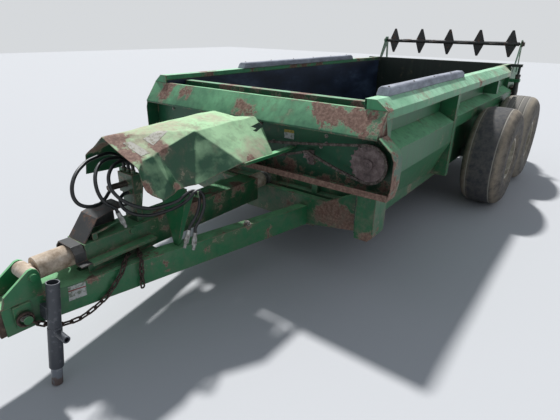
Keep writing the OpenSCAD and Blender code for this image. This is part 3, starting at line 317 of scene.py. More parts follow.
    # Mud thrown up from the ground, thick at the bottom and gone by the rails
    height = add(tree, "SeparateXYZ", {0: place}).outputs["Z"]
    low = add(tree, "MapRange", {"Value": height, "From Min": 1.25, "From Max": 0.2, "To Max": 0.32})
    splash = add(tree, "TexNoise", {"Vector": place, "Scale": 11, "Detail": 8, "Roughness": 0.7})
    thrown = add(tree, "Math", {0: splash, 1: low})
    caked = add(tree, "MapRange", {"Value": thrown, "From Min": 0.66, "From Max": 0.86, "To Max": mud})
    coat = add(tree, "Mix", {0: caked, 6: coat, 7: "#857c6c"}, data_type="RGBA")
    dull = add(tree, "Math", {0: fade_and_top_light, 1: rusty}, operation="MAXIMUM")
    matt = add(tree, "MapRange", {"Value": dull, "To Min": gloss, "To Max": 0.8})
    # Rust swells a little over the paint
    relief = add(tree, "Math", {0: rusty, 1: speckle}, operation="MULTIPLY")
    return surfaced(made, {"Base Color": coat, "Roughness": matt}, relief, 0.003)


body_of = {node: body for body, nodes in frame["record"]["behaviour"]["bodies"].items() for node in nodes}
dent_squares = 0.16
# Without its own seed, the noise would dent the sheets another way in each run
noise.seed_set(4)


def dent(at, deep):
    """How far a place on the sheets has been pushed, the same for every piece so that joints stay shut."""
    broad = noise.noise_vector(at * 1.7 + Vector((3.1, 7.7, 1.3)))
    sharp = noise.noise_vector(at * 5.3 + Vector((9.2, 2.4, 5.8)))
    return (broad * 0.75 + sharp * 0.4) * deep


def meshed(work, name):
    """Ends the work on faces: the mesh that they make."""
    mesh = bpy.data.meshes.new(name)
    work.to_mesh(mesh)
    work.free()
    return mesh


def applied(piece):
    """The piece with its modifiers turned into plain mesh."""
    bpy.context.view_layer.update()
    made = bpy.data.meshes.new_from_object(piece.evaluated_get(bpy.context.evaluated_depsgraph_get()))
    piece.modifiers.clear()
    old, piece.data = piece.data, made
    bpy.data.meshes.remove(old)
    return made


def cut_across(work, axis, places):
    """Cuts the faces square to an axis at each place, so that they can bend there."""
    for at in places:
        on_plane, across_plane = Vector((0, 0, 0)), Vector((0, 0, 0))
        on_plane[axis], across_plane[axis] = at, 1
        bmesh.ops.bisect_plane(work, geom=work.verts[:] + work.edges[:] + work.faces[:], dist=1e-5,
                               plane_co=on_plane, plane_no=across_plane)


def shaded(piece, sharp_at):
    """Smooth shading up to edges of so many degrees, led by the large faces."""
    piece.data.shade_smooth()
    piece.data.set_sharp_from_angle(angle=radians(sharp_at))
    flats = piece.modifiers.new("flats", "WEIGHTED_NORMAL")
    flats.keep_sharp = True
    applied(piece)


def worked(node, finish, fold=0.0025, deep=0.004):
    """The CAD piece as worked steel: rounded folds, and dents that are up to so many metres deep."""
    work = bmesh.new()
    work.from_mesh(bpy.data.objects[node].data)
    bmesh.ops.remove_doubles(work, verts=work.verts, dist=1e-5)
    bmesh.ops.dissolve_limit(work, angle_limit=radians(0.6), verts=work.verts, edges=work.edges)
    piece = show(meshed(work, node + "_steel"), node + "_steel", finish)
    if fold:
        rounding = piece.modifiers.new("folds", "BEVEL")
        rounding.width = fold
        rounding.segments = 2
        rounding.limit_method = "ANGLE"
        rounding.angle_limit = radians(38)
        applied(piece)
    if deep:
        work = bmesh.new()
        work.from_mesh(piece.data)
        low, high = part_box(node)
        for axis in range(3):
            count = int((high[axis] - low[axis]) / dent_squares)
            cut_across(work, axis, [low[axis] + (k + 1) * dent_squares for k in range(count)])
        for vert in work.verts:
            vert.co += dent(vert.co, deep)
        work.to_mesh(piece.data)
        work.free()
    shaded(piece, 34)
    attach(piece, body_of[node])
    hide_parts(node)
    return piece


def as_built(node, finish):
    """The CAD piece kept as it is, in its finish."""
    slots = bpy.data.objects[node].data.materials
    slots.clear()
    slots.append(finish)


def wear_at(mesh, kind, places, upright=1.0):
    """Marks where a sheet is worn: the middle and the reach of each place, in millimetres."""
    share = mesh.attributes.new(kind, "FLOAT", "POINT")
    for vert, value in zip(mesh.vertices, share.data):
        most = max(max(0, 1 - (vert.co - place_mm(*at)).length * 1000 / wide) for at, wide in places)
        value.value = min(1, 1.3 * most) * (1 if vert.normal.z > 0.72 else upright)


worked("side_sheets", enamel("sheet_enamel", spots=[
    (-1780, 1085, 1112, 190), (-1960, 1085, 1115, 200), (-2160, 1085, 1115, 180), (-4250, 1110, 1300, 200)]))
side_green = enamel("side_enamel")
worked("side_posts", side_green)
worked("gate_guides", side_green, deep=0)
worked("beater_plates", side_green, deep=0)
# A paler copy of the body enamel, as painted sunlight on the rails; their chalk and rust are their own
sunlit_rail_green = enamel("rail_enamel", "#4c9b6c", "#b0e2bd", rust_share=0.5, mud=0.1,
                    spots=[(-4280, 1100, 1385, 150), (-40, 1110, 1330, 60), (-2800, 1100, 1385, 60)]
                    + [(x, -985, 1355, 130) for x in (-500, -1150, -1900, -2150, -2500, -3600)])
rails = worked("side_rails", sunlit_rail_green, fold=0.004)
wear_at(rails.data, "chalk", [((x, side * 1080, 1380), 330) for x in (-3750, -4000, -4250) for side in (1, -1)]
        + [((x, 1105, 1390), 170) for x in (-700, -1500, -2300, -3000)])


# Front wall, chain tray and cover of the side shaft
# Folded steel across the front of the box. The sloping panel over the tray has rusted through its
# paint in patches, and worn labels without print are left on the back plate.
# Its darker base green is painted shade, for the shade over the tray under the sloping panel
tray_green_in_shade = enamel("tray_enamel", "#1f5c40", rust_share=0.55, spots=[
    (48, 674, 1265, 110), (62, 752, 1247, 120), (36, 888, 1280, 200), (66, 1060, 1240, 170), (73, 70, 1233, 120),
    (56, -44, 1255, 110), (50, -640, 1270, 120), (40, -900, 1280, 170), (20, 600, 1300, 60),
    (130, 1236, 930, 85), (130, 1236, 1060, 85), (130, 1228, 1160, 80)] + [
    (120, y, 812, 175) for y in range(-80, 1240, 130)])
worked("front_wall", tray_green_in_shade, deep=0.003)
worked("chain_tray", tray_green_in_shade, fold=0.003)
worked("shaft_cover", side_green, deep=0.003)


def paper(name, tint, stain):
    """Weathered label stock: matt and pale, rubbed through in places, and bare of any print."""
    made, tree, place = new_material(name)
    rub = add(tree, "TexNoise", {"Vector": place, "Scale": 38, "Detail": 7, "Roughness": 0.7})
    worn = add(tree, "ValToRGB", {0: rub}, [(0.4, stain), (0.52, tint), (0.75, tint)])
    return surfaced(made, {"Base Color": worn, "Roughness": 0.7})


def label(name, corners, finish, outward, steps=5, lie=lambda at, way: at + dent(at, 0.004) + way * 0.0012):
    """A thin blank label between four places in millimetres, that lies on the sheet under it."""
    work = bmesh.new()
    a, b, c, d = [place_mm(*at) for at in corners]
    grid = [work.verts.new(lie(a.lerp(b, i / steps).lerp(d.lerp(c, i / steps), k / steps), Vector(outward)))
            for i in range(steps + 1) for k in range(steps + 1)]
    for i in range(steps):
        for k in range(steps):
            q = i * (steps + 1) + k
            work.faces.new((grid[q], grid[q + steps + 1], grid[q + steps + 2], grid[q + 1]))
    work.normal_update()
    if sum((f.normal for f in work.faces), Vector()).dot(Vector(outward)) < 0:
        bmesh.ops.reverse_faces(work, faces=work.faces[:])
    piece = show(meshed(work, name), name, finish)
    thick = piece.modifiers.new("stock", "SOLIDIFY")
    thick.thickness = 0.001
    thick.offset = -1
    applied(piece)
    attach(piece, "root")


white_stock = paper("label_stock", "#c9cac6", "#7c8474")
for name, left, top, bottom, stock in (
        ("tray_label_top", 336, 1105, 1085, paper("yellow_label_stock", "#b8a24c", "#77703f")),
        ("tray_label", 336, 1084, 1042, white_stock),
        ("tray_label_faded", 339, 1010, 965, paper("faded_label_stock", "#5f6f64", "#3d5648"))):
    label(name, [(4, left, bottom), (4, left + 87, bottom), (4, left + 87, top), (4, left, top)], stock, (1, 0, 0))


# Screws and nuts
# Zinc-plated hexagon heads on washers, weathered grey, wherever the spreader is bolted together.
def geometry_tree(name, inputs):
    """A Geometry Nodes tree with its inputs, and the sockets that it reads."""
    tree = bpy.data.node_groups.new(name, "GeometryNodeTree")
    for wanted, kind in inputs:
        tree.interface.new_socket(wanted, in_out="INPUT", socket_type="NodeSocket" + kind)
    tree.interface.new_socket("Made", in_out="OUTPUT", socket_type="NodeSocketGeometry")
    return tree, add(tree, "NodeGroupInput").outputs


def finish_tree(tree, made, material=None):
    """Ends a tree: real geometry, with its material."""
    made = add(tree, "GeometryNodeRealizeInstances", {0: made})
    if material:
        made = add(tree, "GeometryNodeSetMaterial", {"Geometry": made, "Material": material})
    add(tree, "NodeGroupOutput", {0: made})


def grown(mesh, name, tree, values, slot, body, *replaced):
    """The plain mesh that a tree makes out of places or a path, riding on its body."""
    piece = show(mesh, name, values["Finish"])
    modifier = piece.modifiers.new(name, "NODES")
    modifier.node_group = tree
    for item in tree.interface.items_tree:
        if item.in_out == "INPUT" and item.name in values:
            modifier[item.identifier] = values[item.name]
    applied(piece)
    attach(piece, body)
    if replaced:
        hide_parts(*replaced)
    return piece


bolt_tree, given = geometry_tree("hexagon_bolts", [
    ("Places", "Geometry"), ("Across", "Float"), ("Finish", "Material")])
radius, tall, wide, lift = [add(bolt_tree, "Math", {0: given["Across"], 1: share}, operation="MULTIPLY")
                            for share in (0.577, 0.62, 0.85, 0.31)]
head = add(bolt_tree, "GeometryNodeMeshCylinder", {"Vertices": 6, "Radius": radius, "Depth": tall})
raised = add(bolt_tree, "GeometryNodeTransform", {
    "Geometry": head, "Translation": add(bolt_tree, "CombineXYZ", {"Z": lift})})
washer = add(bolt_tree, "GeometryNodeMeshCylinder", {"Vertices": 14, "Radius": wide, "Depth": 0.005})
both = add(bolt_tree, "GeometryNodeJoinGeometry", {0: [raised, washer]})
facing = add(bolt_tree, "GeometryNodeInputNamedAttribute", {"Name": "facing"}, data_type="FLOAT_VECTOR")
stand = add(bolt_tree, "FunctionNodeAlignRotationToVector", {"Vector": facing}, axis="Z")
heads = add(bolt_tree, "GeometryNodeInstanceOnPoints", {
    "Points": given["Places"], "Instance": both, "Rotation": stand})
finish_tree(bolt_tree, heads, given["Finish"])


def weathered_zinc():
    """Zinc plating gone grey: half metallic, with brown rust starting in blooms a few millimetres wide."""
    made, tree, place = new_material("weathered_zinc")
    bloom = add(tree, "TexNoise", {"Vector": place, "Scale": 70, "Detail": 5})
    tint = add(tree, "ValToRGB", {0: bloom}, [(0.38, "#5f4a3f"), (0.5, "#85827c"), (0.7, "#b4b3ad")])
    return surfaced(made, {"Base Color": tint, "Metallic": 0.5, "Roughness": 0.5})


zinc = weathered_zinc()


def bolts(name, places, across, body="root", seat=None):
    """Bolt heads at places given as (x, y, z) in millimetres and the direction that they face.

    With a seat, each goes onto that piece, and those with nothing under them are left out.
    """
    heads = [(place_mm(*at), Vector(way)) for at, way in places]
    if seat:
        bpy.context.view_layer.update()
        landed = [(seat.ray_cast(at + way * 0.1, -way, distance=0.2), way) for at, way in heads]
        heads = [(result[1], way) for result, way in landed if result[0]]
    mesh = bpy.data.meshes.new(name)
    mesh.from_pydata([at for at, way in heads], [], [])
    ways = mesh.attributes.new("facing", "FLOAT_VECTOR", "POINT")
    for (at, way), value in zip(heads, ways.data):
        value.vector = way
    grown(mesh, name, bolt_tree, {"Across": across / 1000, "Finish": zinc}, "bare_steel", body)


bolts("tray_bolts", [((5, y, z), (1, 0, 0)) for y, z in (
    (693, 1110), (697, 1058), (243, 1002), (440, 1016), (654, 1029), (120, 1120), (-180, 1110), (-520, 1110),
    (-880, 1110), (560, 905), (602, 905))], 17)


# Roller chain drive
# Roller chain of 38.1 mm pitch, dry and rusty, round the three chain wheels: outer and inner plates
# in turn, with a pin and a roller where they meet.
chain_x = 70
pitch_mm = 38.1
slack_mm = 9
# Each wheel's place across and up, its radius, and the way that the chain turns round it
wheels = [((0, 918), 70, 1), ((582, 968), 28, -1), ((1048, 992), 124, 1)]


def heading_between(a, b):
    """The way that the chain runs from one wheel to the next."""
    gap = Vector(b[0]) - Vector(a[0])
    return atan2(gap.y, gap.x) - asin((b[2] * b[1] - a[2] * a[1]) / gap.length)


pins = []
for i, wheel in enumerate(wheels):
    (wy, wz), wheel_r, turn_way = wheel
    first, last = heading_between(wheels[i - 1], wheel), heading_between(wheel, wheels[(i + 1) % 3])
    turn = (last - first) % (2 * pi) if turn_way > 0 else -((first - last) % (2 * pi))
    steps = max(2, round(abs(turn) * wheel_r / pitch_mm))
    for k in range(steps + 1):
        angle = first + turn * k / steps
        pins.append(Vector((wy + turn_way * wheel_r * sin(angle), wz - turn_way * wheel_r * cos(angle))))
path = []
for a, b in zip(pins, pins[1:] + pins[:1]):
    parts = max(1, round((b - a).length / pitch_mm))
    # A long run hangs a little under its own weight
    for k in range(parts):
        at = a.lerp(b, k / parts)
        slack = 4 * (k / parts) * (1 - k / parts) * slack_mm * (parts > 6)
        path.append(place_mm(chain_x, at.x, at.y - slack))


def link_places(tree, path):
    """The middles of a path's edges as points, the rotation along each, and whether its number is odd."""
    ends = add(tree, "GeometryNodeInputMeshEdgeVertices").outputs
    along = add(tree, "VectorMath", {0: ends["Position 2"], 1: ends["Position 1"]}, operation="SUBTRACT")
    kept = add(tree, "GeometryNodeStoreNamedAttribute", {"Geometry": path, "Name": "along", "Value": along},
               data_type="FLOAT_VECTOR", domain="EDGE")
    along = add(tree, "GeometryNodeInputNamedAttribute", {"Name": "along"}, data_type="FLOAT_VECTOR")
    lie = add(tree, "FunctionNodeAlignRotationToVector", {"Vector": along}, axis="X")
    odd = add(tree, "Math", {0: add(tree, "GeometryNodeInputIndex"), 1: 2}, operation="MODULO")
    return add(tree, "GeometryNodeMeshToPoints", {"Mesh": kept}, mode="EDGES"), lie, odd


tree, given = geometry_tree("roller_chain", [
    ("Path", "Geometry"), ("Pitch", "Float"), ("Plate height", "Float"), ("Plate", "Float"),
    ("Roller", "Float"), ("Width", "Float"), ("Finish", "Material"), ("Lit plate finish", "Material")])
to_pins = [add(tree, "CombineXYZ", {"X": add(tree, "Math", {0: given["Pitch"], 1: share}, operation="MULTIPLY")})
           for share in (0.5, -0.5)]
plate_end = add(tree, "GeometryNodeMeshCylinder", {
    "Vertices": 10, "Radius": given["Plate height"], "Depth": given["Plate"]})
plate_ends = [add(tree, "GeometryNodeTransform", {"Geometry": plate_end, "Translation": way}) for way in to_pins]
plate = add(tree, "GeometryNodeConvexHull", {0: add(tree, "GeometryNodeJoinGeometry", {0: plate_ends})})
centres, lie, odd = link_places(tree, given["Path"])
flat = add(tree, "FunctionNodeAlignRotationToVector", {"Rotation": lie, "Vector": (1, 0, 0)}, axis="Z",
           pivot_axis="X")
even = add(tree, "Math", {0: 1.0, 1: odd}, operation="SUBTRACT")
strands = []
# The wider links take the paler plate finish and the narrower ones the darker finish: painted light and painted
# shade
for chosen, spread, core_r, core_share, steel in (
        (odd, 0.43, given["Roller"], 0.6, "Lit plate finish"), (even, 0.28, 0.0045, 1.0, "Finish")):
    near_off, far_off, core_long = [add(tree, "Math", {0: given["Width"], 1: share}, operation="MULTIPLY")
                                    for share in (spread, -spread, core_share)]
    core = add(tree, "GeometryNodeMeshCylinder", {"Vertices": 10, "Radius": core_r, "Depth": core_long})
    parts = [(plate, add(tree, "CombineXYZ", {"Z": off})) for off in (near_off, far_off)]
    parts += [(core, way) for way in to_pins]
    link = add(tree, "GeometryNodeJoinGeometry", {0: [
        add(tree, "GeometryNodeTransform", {"Geometry": part, "Translation": way}) for part, way in parts]})
    dressed = add(tree, "GeometryNodeSetMaterial", {"Geometry": link, "Material": given[steel]})
    strands.append(add(tree, "GeometryNodeInstanceOnPoints", {
        "Points": centres, "Selection": chosen, "Instance": dressed, "Rotation": flat}))
finish_tree(tree, add(tree, "GeometryNodeJoinGeometry", {0: strands}))


def rusted(name, dark, middle, pale, scale, shine=0.0):
    """Bare mild steel, rusted brown all over in layers and flakes from dark to pale, as metallic as its shine."""
    made, tree, place = new_material(name)
    flakes = add(tree, "TexNoise", {"Vector": place, "Scale": scale, "Detail": 10, "Roughness": 0.68})
    tint = add(tree, "ValToRGB", {0: flakes}, [(0.32, dark), (0.52, middle), (0.7, pale)])
    grit = add(tree, "TexNoise", {"Vector": place, "Scale": 160, "Detail": 4})
    return surfaced(made, {"Base Color": tint, "Metallic": shine, "Roughness": 0.85 - 0.4 * shine}, grit,
                    strength=0.5)


path_mesh = bpy.data.meshes.new("chain_path")
path_mesh.from_pydata(path, [(k, (k + 1) % len(path)) for k in range(len(path))], [])
# The paler plate steel is the lit copy of the chain's rust and the darker chain steel its shaded copy
grown(path_mesh, "roller_chain", tree, {
    "Pitch": pitch_mm / 1000, "Plate height": 0.0088, "Plate": 0.0024, "Roller": 0.0066, "Width": 0.0165,
    "Finish": rusted("chain_steel", "#2b2523", "#4a403b", "#776a61", 60, 0.2),
    "Lit plate finish": rusted("chain_plate_lit_steel", "#383230", "#5d5550", "#8d847b", 90, 0.3)},
    "rusty_steel", "root", "drive_chain")
wheel_rust = rusted("chain_wheel_steel", "#423839", "#6f605e", "#918380", 22)
for node in ("large_sprocket", "chain_idler"):
    worked(node, wheel_rust, fold=0.001, deep=0)


# Frame, posts, cross member and tongue
# Welded box-section and plate under the box, in the same enamel but glossier at the front, with mud on
# the undersides and rust where the beams meet. The hitch is plain forged steel.
frame_green = enamel("frame_enamel", "#1c4132", "#35493c", rust_share=0.62, mud=0.6, spots=[
    (-170, 830, 560, 160)])
post_green = enamel("post_enamel", rust_share=0.6, mud=0.5, spots=[
    (0, 1040, 450, 110), (-125, 602, 453, 150), (-125, 700, 500, 150), (-125, 790, 470, 190), (-125, 880, 410, 150),
    (-20, 1080, 440, 90)])
tongue_green = enamel(
    "tongue_enamel", "#28784a", "#86cc93", rust_share=0.36, mud=0.2, gloss=0.34, streaks=0.28, spots=[
        (1100, 230, 500, 110), (1060, 240, 440, 60), (470, 370, 500, 60), (1480, 140, 500, 70),
        (800, 300, 420, 60), (250, 400, 380, 70), (1720, 60, 500, 90), (1850, 0, 500, 120)])
hitch_steel = rusted("hitch_steel", "#302824", "#55453c", "#8a7566", 18)
for node, finish, fold, deep in (
        ("floor_frame", frame_green, 0.0025, 0), ("front_posts", post_green, 0.004, 0.003),
        ("cross_member", post_green, 0.003, 0.003), ("walking_beams", frame_green, 0.003, 0),
        ("tongue", tongue_green, 0.004, 0.003), ("hitch", hitch_steel, 0.003, 0)):
    worked(node, finish, fold, deep)
for name, corners, stock in (
        ("tongue_plate_top", [(1612, 112.6, 491), (1523, 131.2, 493), (1525, 130.6, 466), (1613, 112.3, 468)],
         white_stock),
        ("tongue_plate_line", [(1613, 112.3, 467), (1525, 130.6, 465), (1525, 130.5, 460), (1613, 112.2, 462)],
         paper("red_label_stock", "#a3322f", "#8a4a40")),
        ("tongue_plate", [(1613, 112.2, 461), (1525, 130.5, 459), (1528, 129.8, 407), (1619, 110.8, 406)],
         white_stock)):
    label(name, corners, stock, (0.2, 1, 0), lie=lambda at, way: at + dent(at, 0.003) + way * 0.0012)


# Safety chains
# Welded round-link chain of 11 mm wire, rusted dark. One is hooked up along the tongue and one hangs.
tree, given = geometry_tree("round_link_chain", [
    ("Path", "Geometry"), ("Link", "Float"), ("Across", "Float"), ("Wire", "Float"), ("Finish", "Material")])
circle = add(tree, "GeometryNodeCurvePrimitiveCircle", {"Resolution": 12, "Radius": given["Across"]})
# The circle's two halves are drawn apart into a long link
half = add(tree, "SeparateXYZ", {0: add(tree, "GeometryNodeInputPosition")}).outputs["X"]
way = add(tree, "Math", {0: half}, operation="SIGN")
straight = add(tree, "Math", {0: given["Link"], 1: given["Across"]}, operation="SUBTRACT")
stretch = add(tree, "Math", {0: way, 1: straight}, operation="MULTIPLY")
oval = add(tree, "GeometryNodeSetPosition", {"Geometry": circle, "Offset": add(tree, "CombineXYZ", {"X": stretch})})
wire_ring = add(tree, "GeometryNodeCurvePrimitiveCircle", {"Resolution": 7, "Radius": given["Wire"]})
bent = add(tree, "GeometryNodeCurveToMesh", {"Curve": oval, "Profile Curve": wire_ring})
centres, lie, odd = link_places(tree, given["Path"])
quarter = add(tree, "Math", {0: odd, 1: pi / 2}, operation="MULTIPLY")
turned = add(tree, "FunctionNodeRotateRotation", {
    "Rotation": lie, "Rotate By": add(tree, "CombineXYZ", {"X": quarter})}, rotation_space="LOCAL")
links = add(tree, "GeometryNodeInstanceOnPoints", {"Points": centres, "Instance": bent, "Rotation": turned})
finish_tree(tree, links, given["Finish"])
old_chain = rusted("old_chain_steel", "#1f1a18", "#453731", "#7d675a", 70, 0.2)
safety_pitch = 0.046
safety_routes = [
    [(1225, 97.5, 524), (1285, 150, 526), (1315, 186, 523), (1337, 200, 494), (1375, 185, 440), (1435, 170, 366),
     (1515, 146, 312), (1595, 126, 282), (1675, 109, 288), (1745, 103, 325), (1807, 104, 385), (1820, 105, 401)],
    [(1160, 99, 523), (1197, 170, 526), (1215, 208, 522), (1230, 224, 494), (1231, 216, 420), (1233, 213, 340)]]
ends_of_links, joined = [], []
for route in safety_routes:
    points = [place_mm(*at) for at in route]
    total = sum((b - a).length for a, b in zip(points, points[1:]))
    count = round(total / safety_pitch)
    for k in range(count + 1):
        far, i = total * k / count, 0
        while i < len(points) - 2 and far > (points[i + 1] - points[i]).length:
            far -= (points[i + 1] - points[i]).length
            i += 1
        ends_of_links.append(points[i] + (points[i + 1] - points[i]).normalized() * far)
        if k:
            joined.append((len(ends_of_links) - 2, len(ends_of_links) - 1))
links_mesh = bpy.data.meshes.new("safety_path")
links_mesh.from_pydata(ends_of_links, joined, [])
safety = grown(links_mesh, "safety_chain_links", tree, {
    "Link": safety_pitch / 2 + 0.005, "Across": 0.0115, "Wire": 0.0055, "Finish": old_chain},
    "rusty_steel", "root", "safety_chains")
safety.data.shade_smooth()


def closed_rows(work, rows):
    """Faces between rows of places that close on themselves both ways, as on a ring or a tyre."""
    for here, after in zip(rows, rows[1:] + rows[:1]):
        for k in range(len(here)):
            n = (k + 1) % len(here)
            work.faces.new((here[k], here[n], after[n], after[k]))
    bmesh.ops.recalc_face_normals(work, faces=work.faces[:])


# The ring that the long chain hooks into, on the bolt in the tongue's nose
ring_r, wire_r = 34, 8
turn = Vector((0.12, 1, 0)).to_track_quat("Z", "Y").to_matrix()
work = bmesh.new()
closed_rows(work, [[work.verts.new(place_mm(1836, 102, 416) + turn @ Vector((
    (ring_r + wire_r * cos(b)) * cos(a), (ring_r + wire_r * cos(b)) * sin(a), wire_r * sin(b))) / 1000)
    for b in (2 * pi * k / 12 for k in range(12))] for a in (2 * pi * i / 40 for i in range(40))])
ring = show(meshed(work, "tongue_ring"), "tongue_ring", old_chain)
ring.data.shade_smooth()
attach(ring, "root")
bolts("nose_bolts", [((1833, 96, 425), (0, 1, 0))], 30)
bolts("beam_fitting", [((429, 339, 500), (0, 0, 1))], 34)


# Jack
# A drop-leg stand of two grey painted tubes. Its paint has gone from the rims, and its foot is rusty.
def painted_tube(name, tint, worn, tip_z):
    """Thin grey paint on drawn tube: scraped pale along the rims and rusty where it stands in the wet."""
    made, tree, place = new_material(name)
    scrape = add(tree, "TexNoise", {"Vector": place, "Scale": 26, "Detail": 8, "Roughness": 0.7})
    share = add(tree, "Math", {0: scrape, 1: edge_wear(tree, 0.006, 0.99, 0.75, 0.3)})
    tints = add(tree, "ValToRGB", {0: share}, [(0.35, tint), (0.55, tint), (0.66, worn), (0.8, "#8f9094")])
    height = add(tree, "SeparateXYZ", {0: place}).outputs["Z"]
    wet = add(tree, "MapRange", {"Value": height, "From Min": tip_z, "From Max": 0.02, "To Max": 0.35})
    wet_share = add(tree, "Math", {0: wet, 1: scrape})
    rust = add(tree, "MapRange", {"Value": wet_share, "From Min": 0.6, "From Max": 0.75, "To Max": 0.8})
    coat = add(tree, "Mix", {0: rust, 6: tints, 7: "#6b5347"}, data_type="RGBA")
    return surfaced(made, {"Base Color": coat, "Metallic": 0.25, "Roughness": 0.5}, scrape, strength=0.35)


worked("jack_sleeve", painted_tube("jack_paint", "#4c4f55", "#73777e", 0.12), fold=0.0015, deep=0)
worked("jack_leg", painted_tube("jack_leg_paint", "#868a91", "#b0b4ba", 0.08), fold=0.0015, deep=0)


# Push-off cylinder, its guard and the drive line
# The cylinder lies along the middle under a folded guard. Its bare barrel has rusted tan, and a black
# strap and shield have lost most of their paint. The couplers on the hoses are the brightest metal.
def worn_black():
    """Black enamel, brushed on: half matt, rubbed grey on the flats and rusty at the edges."""
    made, tree, place = new_material("black_enamel")
    wear = add(tree, "TexNoise", {"Vector": place, "Scale": 13, "Detail": 9, "Roughness": 0.7})
    share = add(tree, "Math", {0: wear, 1: edge_wear(tree, 0.008, 0.99, 0.8, 0.18)})
    tints = add(tree, "ValToRGB", {0: share}, [
        (0.4, "#1b1d1f"), (0.56, "#3c3d3d"), (0.64, "#6a5042"), (0.72, "#8a7467")])
    gloss = add(tree, "MapRange", {"Value": share, "From Min": 0.4, "From Max": 0.65, "To Min": 0.38,
                                   "To Max": 0.8})
    return surfaced(made, {"Base Color": tints, "Roughness": gloss}, wear, 0.003, 0.5)


black = worn_black()
greasy = rusted("greasy_steel", "#25221f", "#47413c", "#837a70", 22, 0.5)
# Tan rust whose near-white flecks are partly painted highlight, for sunlight on the barrel's top
barrel_steel_and_highlight = rusted("barrel_steel_and_highlight", "#7d6750", "#cfbda8", "#fbf4ea", 9)
guard_green = enamel("guard_enamel", "#22623c", "#6fb07d", rust_share=0.55, mud=0.3, gloss=0.38, spots=[
    (x, 60, 675, 120) for x in range(0, 1150, 230)])
block_green = enamel("block_enamel", "#24593a", "#5f9c70", rust_share=0.65, mud=0.2)
for node, finish, fold, deep in (
        ("ram_barrel", barrel_steel_and_highlight, 0.002, 0), ("ram_guard", guard_green, 0.004, 0.003),
        ("ram_strap", black, 0.002, 0), ("shaft_shield", black, 0.002, 0),
        ("gate_cylinders", black, 0.0015, 0), ("upper_beater", black, 0.0015, 0),
        ("bearing_block", block_green, 0.003, 0), ("hood_legs", tongue_green, 0.003, 0.003),
        ("input_shaft", greasy, 0.0015, 0)):
    worked(node, finish, fold, deep)
as_built("hose_couplers", rusted("bright_zinc", "#6f6c66", "#a5a5a2", "#d2d3d2", 40, 0.7))
for node in ("ram_stage_1", "ram_stage_2", "ram_plunger"):
    worked(node, rusted("rod_" + node, "#6b6762", "#9b9a97", "#bdbdbb", 30, 0.8), fold=0.001, deep=0)


# Hood over the drive line
# One folded sheet of 3 mm steel, knocked about by years of hitching: its near side is pushed in to a
# crease, the lower front corner hangs as a flap, and the rear edge is torn.
hood_points = {
    "R0": (1210, 0, 1219), "R1": (800, 0, 1222), "R2": (430, 0, 1217), "R3": (146, 0, 1174), "R4": (142, 0, 1166),
    "C0": (1209, 226, 1109), "E0": (1157, 233, 1108), "A1": (1071, 226, 1123), "P2": (1018, 228, 1113),
    "P3": (1058, 323, 987), "P4": (986, 296, 978), "T": (1005, 334, 924), "f1": (1200, 270, 1077),
    "f2": (1207, 298, 1020), "f3": (1205, 320, 972), "f4": (1180, 336, 942), "f5": (1108, 345, 922),
    "f6": (1042, 348, 913), "g1": (932, 324, 920), "g2": (873, 333, 916), "E1": (713, 180, 1192),
    "F2": (564, 435, 1000), "E2": (430, 190, 1203), "E3": (170, 200, 1207), "F3": (335, 436, 1000),
    "E4": (144, 240, 1140), "F4": (261, 438, 1000),
    "c0": (1206, -250, 1065), "d0": (1190, -310, 930), "d1": (880, -330, 912), "e1": (713, -180, 1192),
    "h2": (564, -435, 1000), "e2": (430, -190, 1203), "e3": (170, -200, 1205), "h3": (335, -436, 1000),
    "e4": (144, -240, 1140), "h4": (261, -438, 1000)}
hood_faces = [
    "R0 C0 E0", "R0 E0 A1", "R0 A1 E1", "R0 E1 R1", "E0 C0 f1", "E0 f1 f2", "E0 f2 f3", "E0 f3 f4", "E0 f4 f5",
    "E0 f5 A1", "A1 f5 P3", "P3 f5 f6", "P3 f6 T", "A1 P3 P4 P2", "P3 T P4", "E1 A1 P2", "E1 P2 P4", "P4 T g1",
    "P4 g1 g2", "E1 P4 g2", "E1 g2 F2", "R1 E1 E2", "R1 E2 R2", "R2 E2 E3", "R2 E3 R3", "R3 E3 E4", "R3 E4 R4",
    "E1 F2 E2", "E2 F2 F3", "E2 F3 E3", "E3 F3 F4", "E3 F4 E4",
    "R0 R1 e1", "R0 e1 c0", "c0 e1 d1", "c0 d1 d0", "e1 h2 d1", "R1 R2 e2", "R1 e2 e1", "R2 R3 e3", "R2 e3 e2",
    "R3 R4 e4", "R3 e4 e3", "e1 e2 h2", "e2 h3 h2", "e2 e3 h3", "e3 h4 h3", "e3 e4 h4"]
rusted_places = [((1180, 170, 1130), 120), ((1150, 60, 1190), 130), ((1010, 190, 1140), 110),
                 ((1150, -160, 1130), 150), ((470, 430, 1004), 80), ((1010, 330, 930), 60),
                 ((1195, 325, 980), 60), ((180, 160, 1200), 70)]
chalked_places = [((1050, 100, 1180), 420), ((1000, -100, 1190), 420), ((800, 0, 1222), 300),
                  ((430, 0, 1217), 260), ((430, 420, 1012), 150), ((300, 430, 1010), 150),
                  ((1035, 315, 965), 60), ((360, 400, 1040), 200), ((520, 410, 1030), 120)]
work = bmesh.new()
corner = {name: work.verts.new(place_mm(*at)) for name, at in hood_points.items()}
for names in hood_faces:
    work.faces.new([corner[n] for n in names.split()])
bmesh.ops.recalc_face_normals(work, faces=work.faces[:])
if next(f for f in work.faces if corner["R1"] in f.verts).normal.z < 0:
    bmesh.ops.reverse_faces(work, faces=work.faces[:])
folds = [e for e in work.edges if len(e.link_faces) == 2 and e.calc_face_angle() > radians(14)]
bmesh.ops.bevel(work, geom=folds, offset=0.007, segments=2, profile=0.5, affect="EDGES", clamp_overlap=True)
bmesh.ops.triangulate(work, faces=work.faces[:])
knock_squares = 0.045
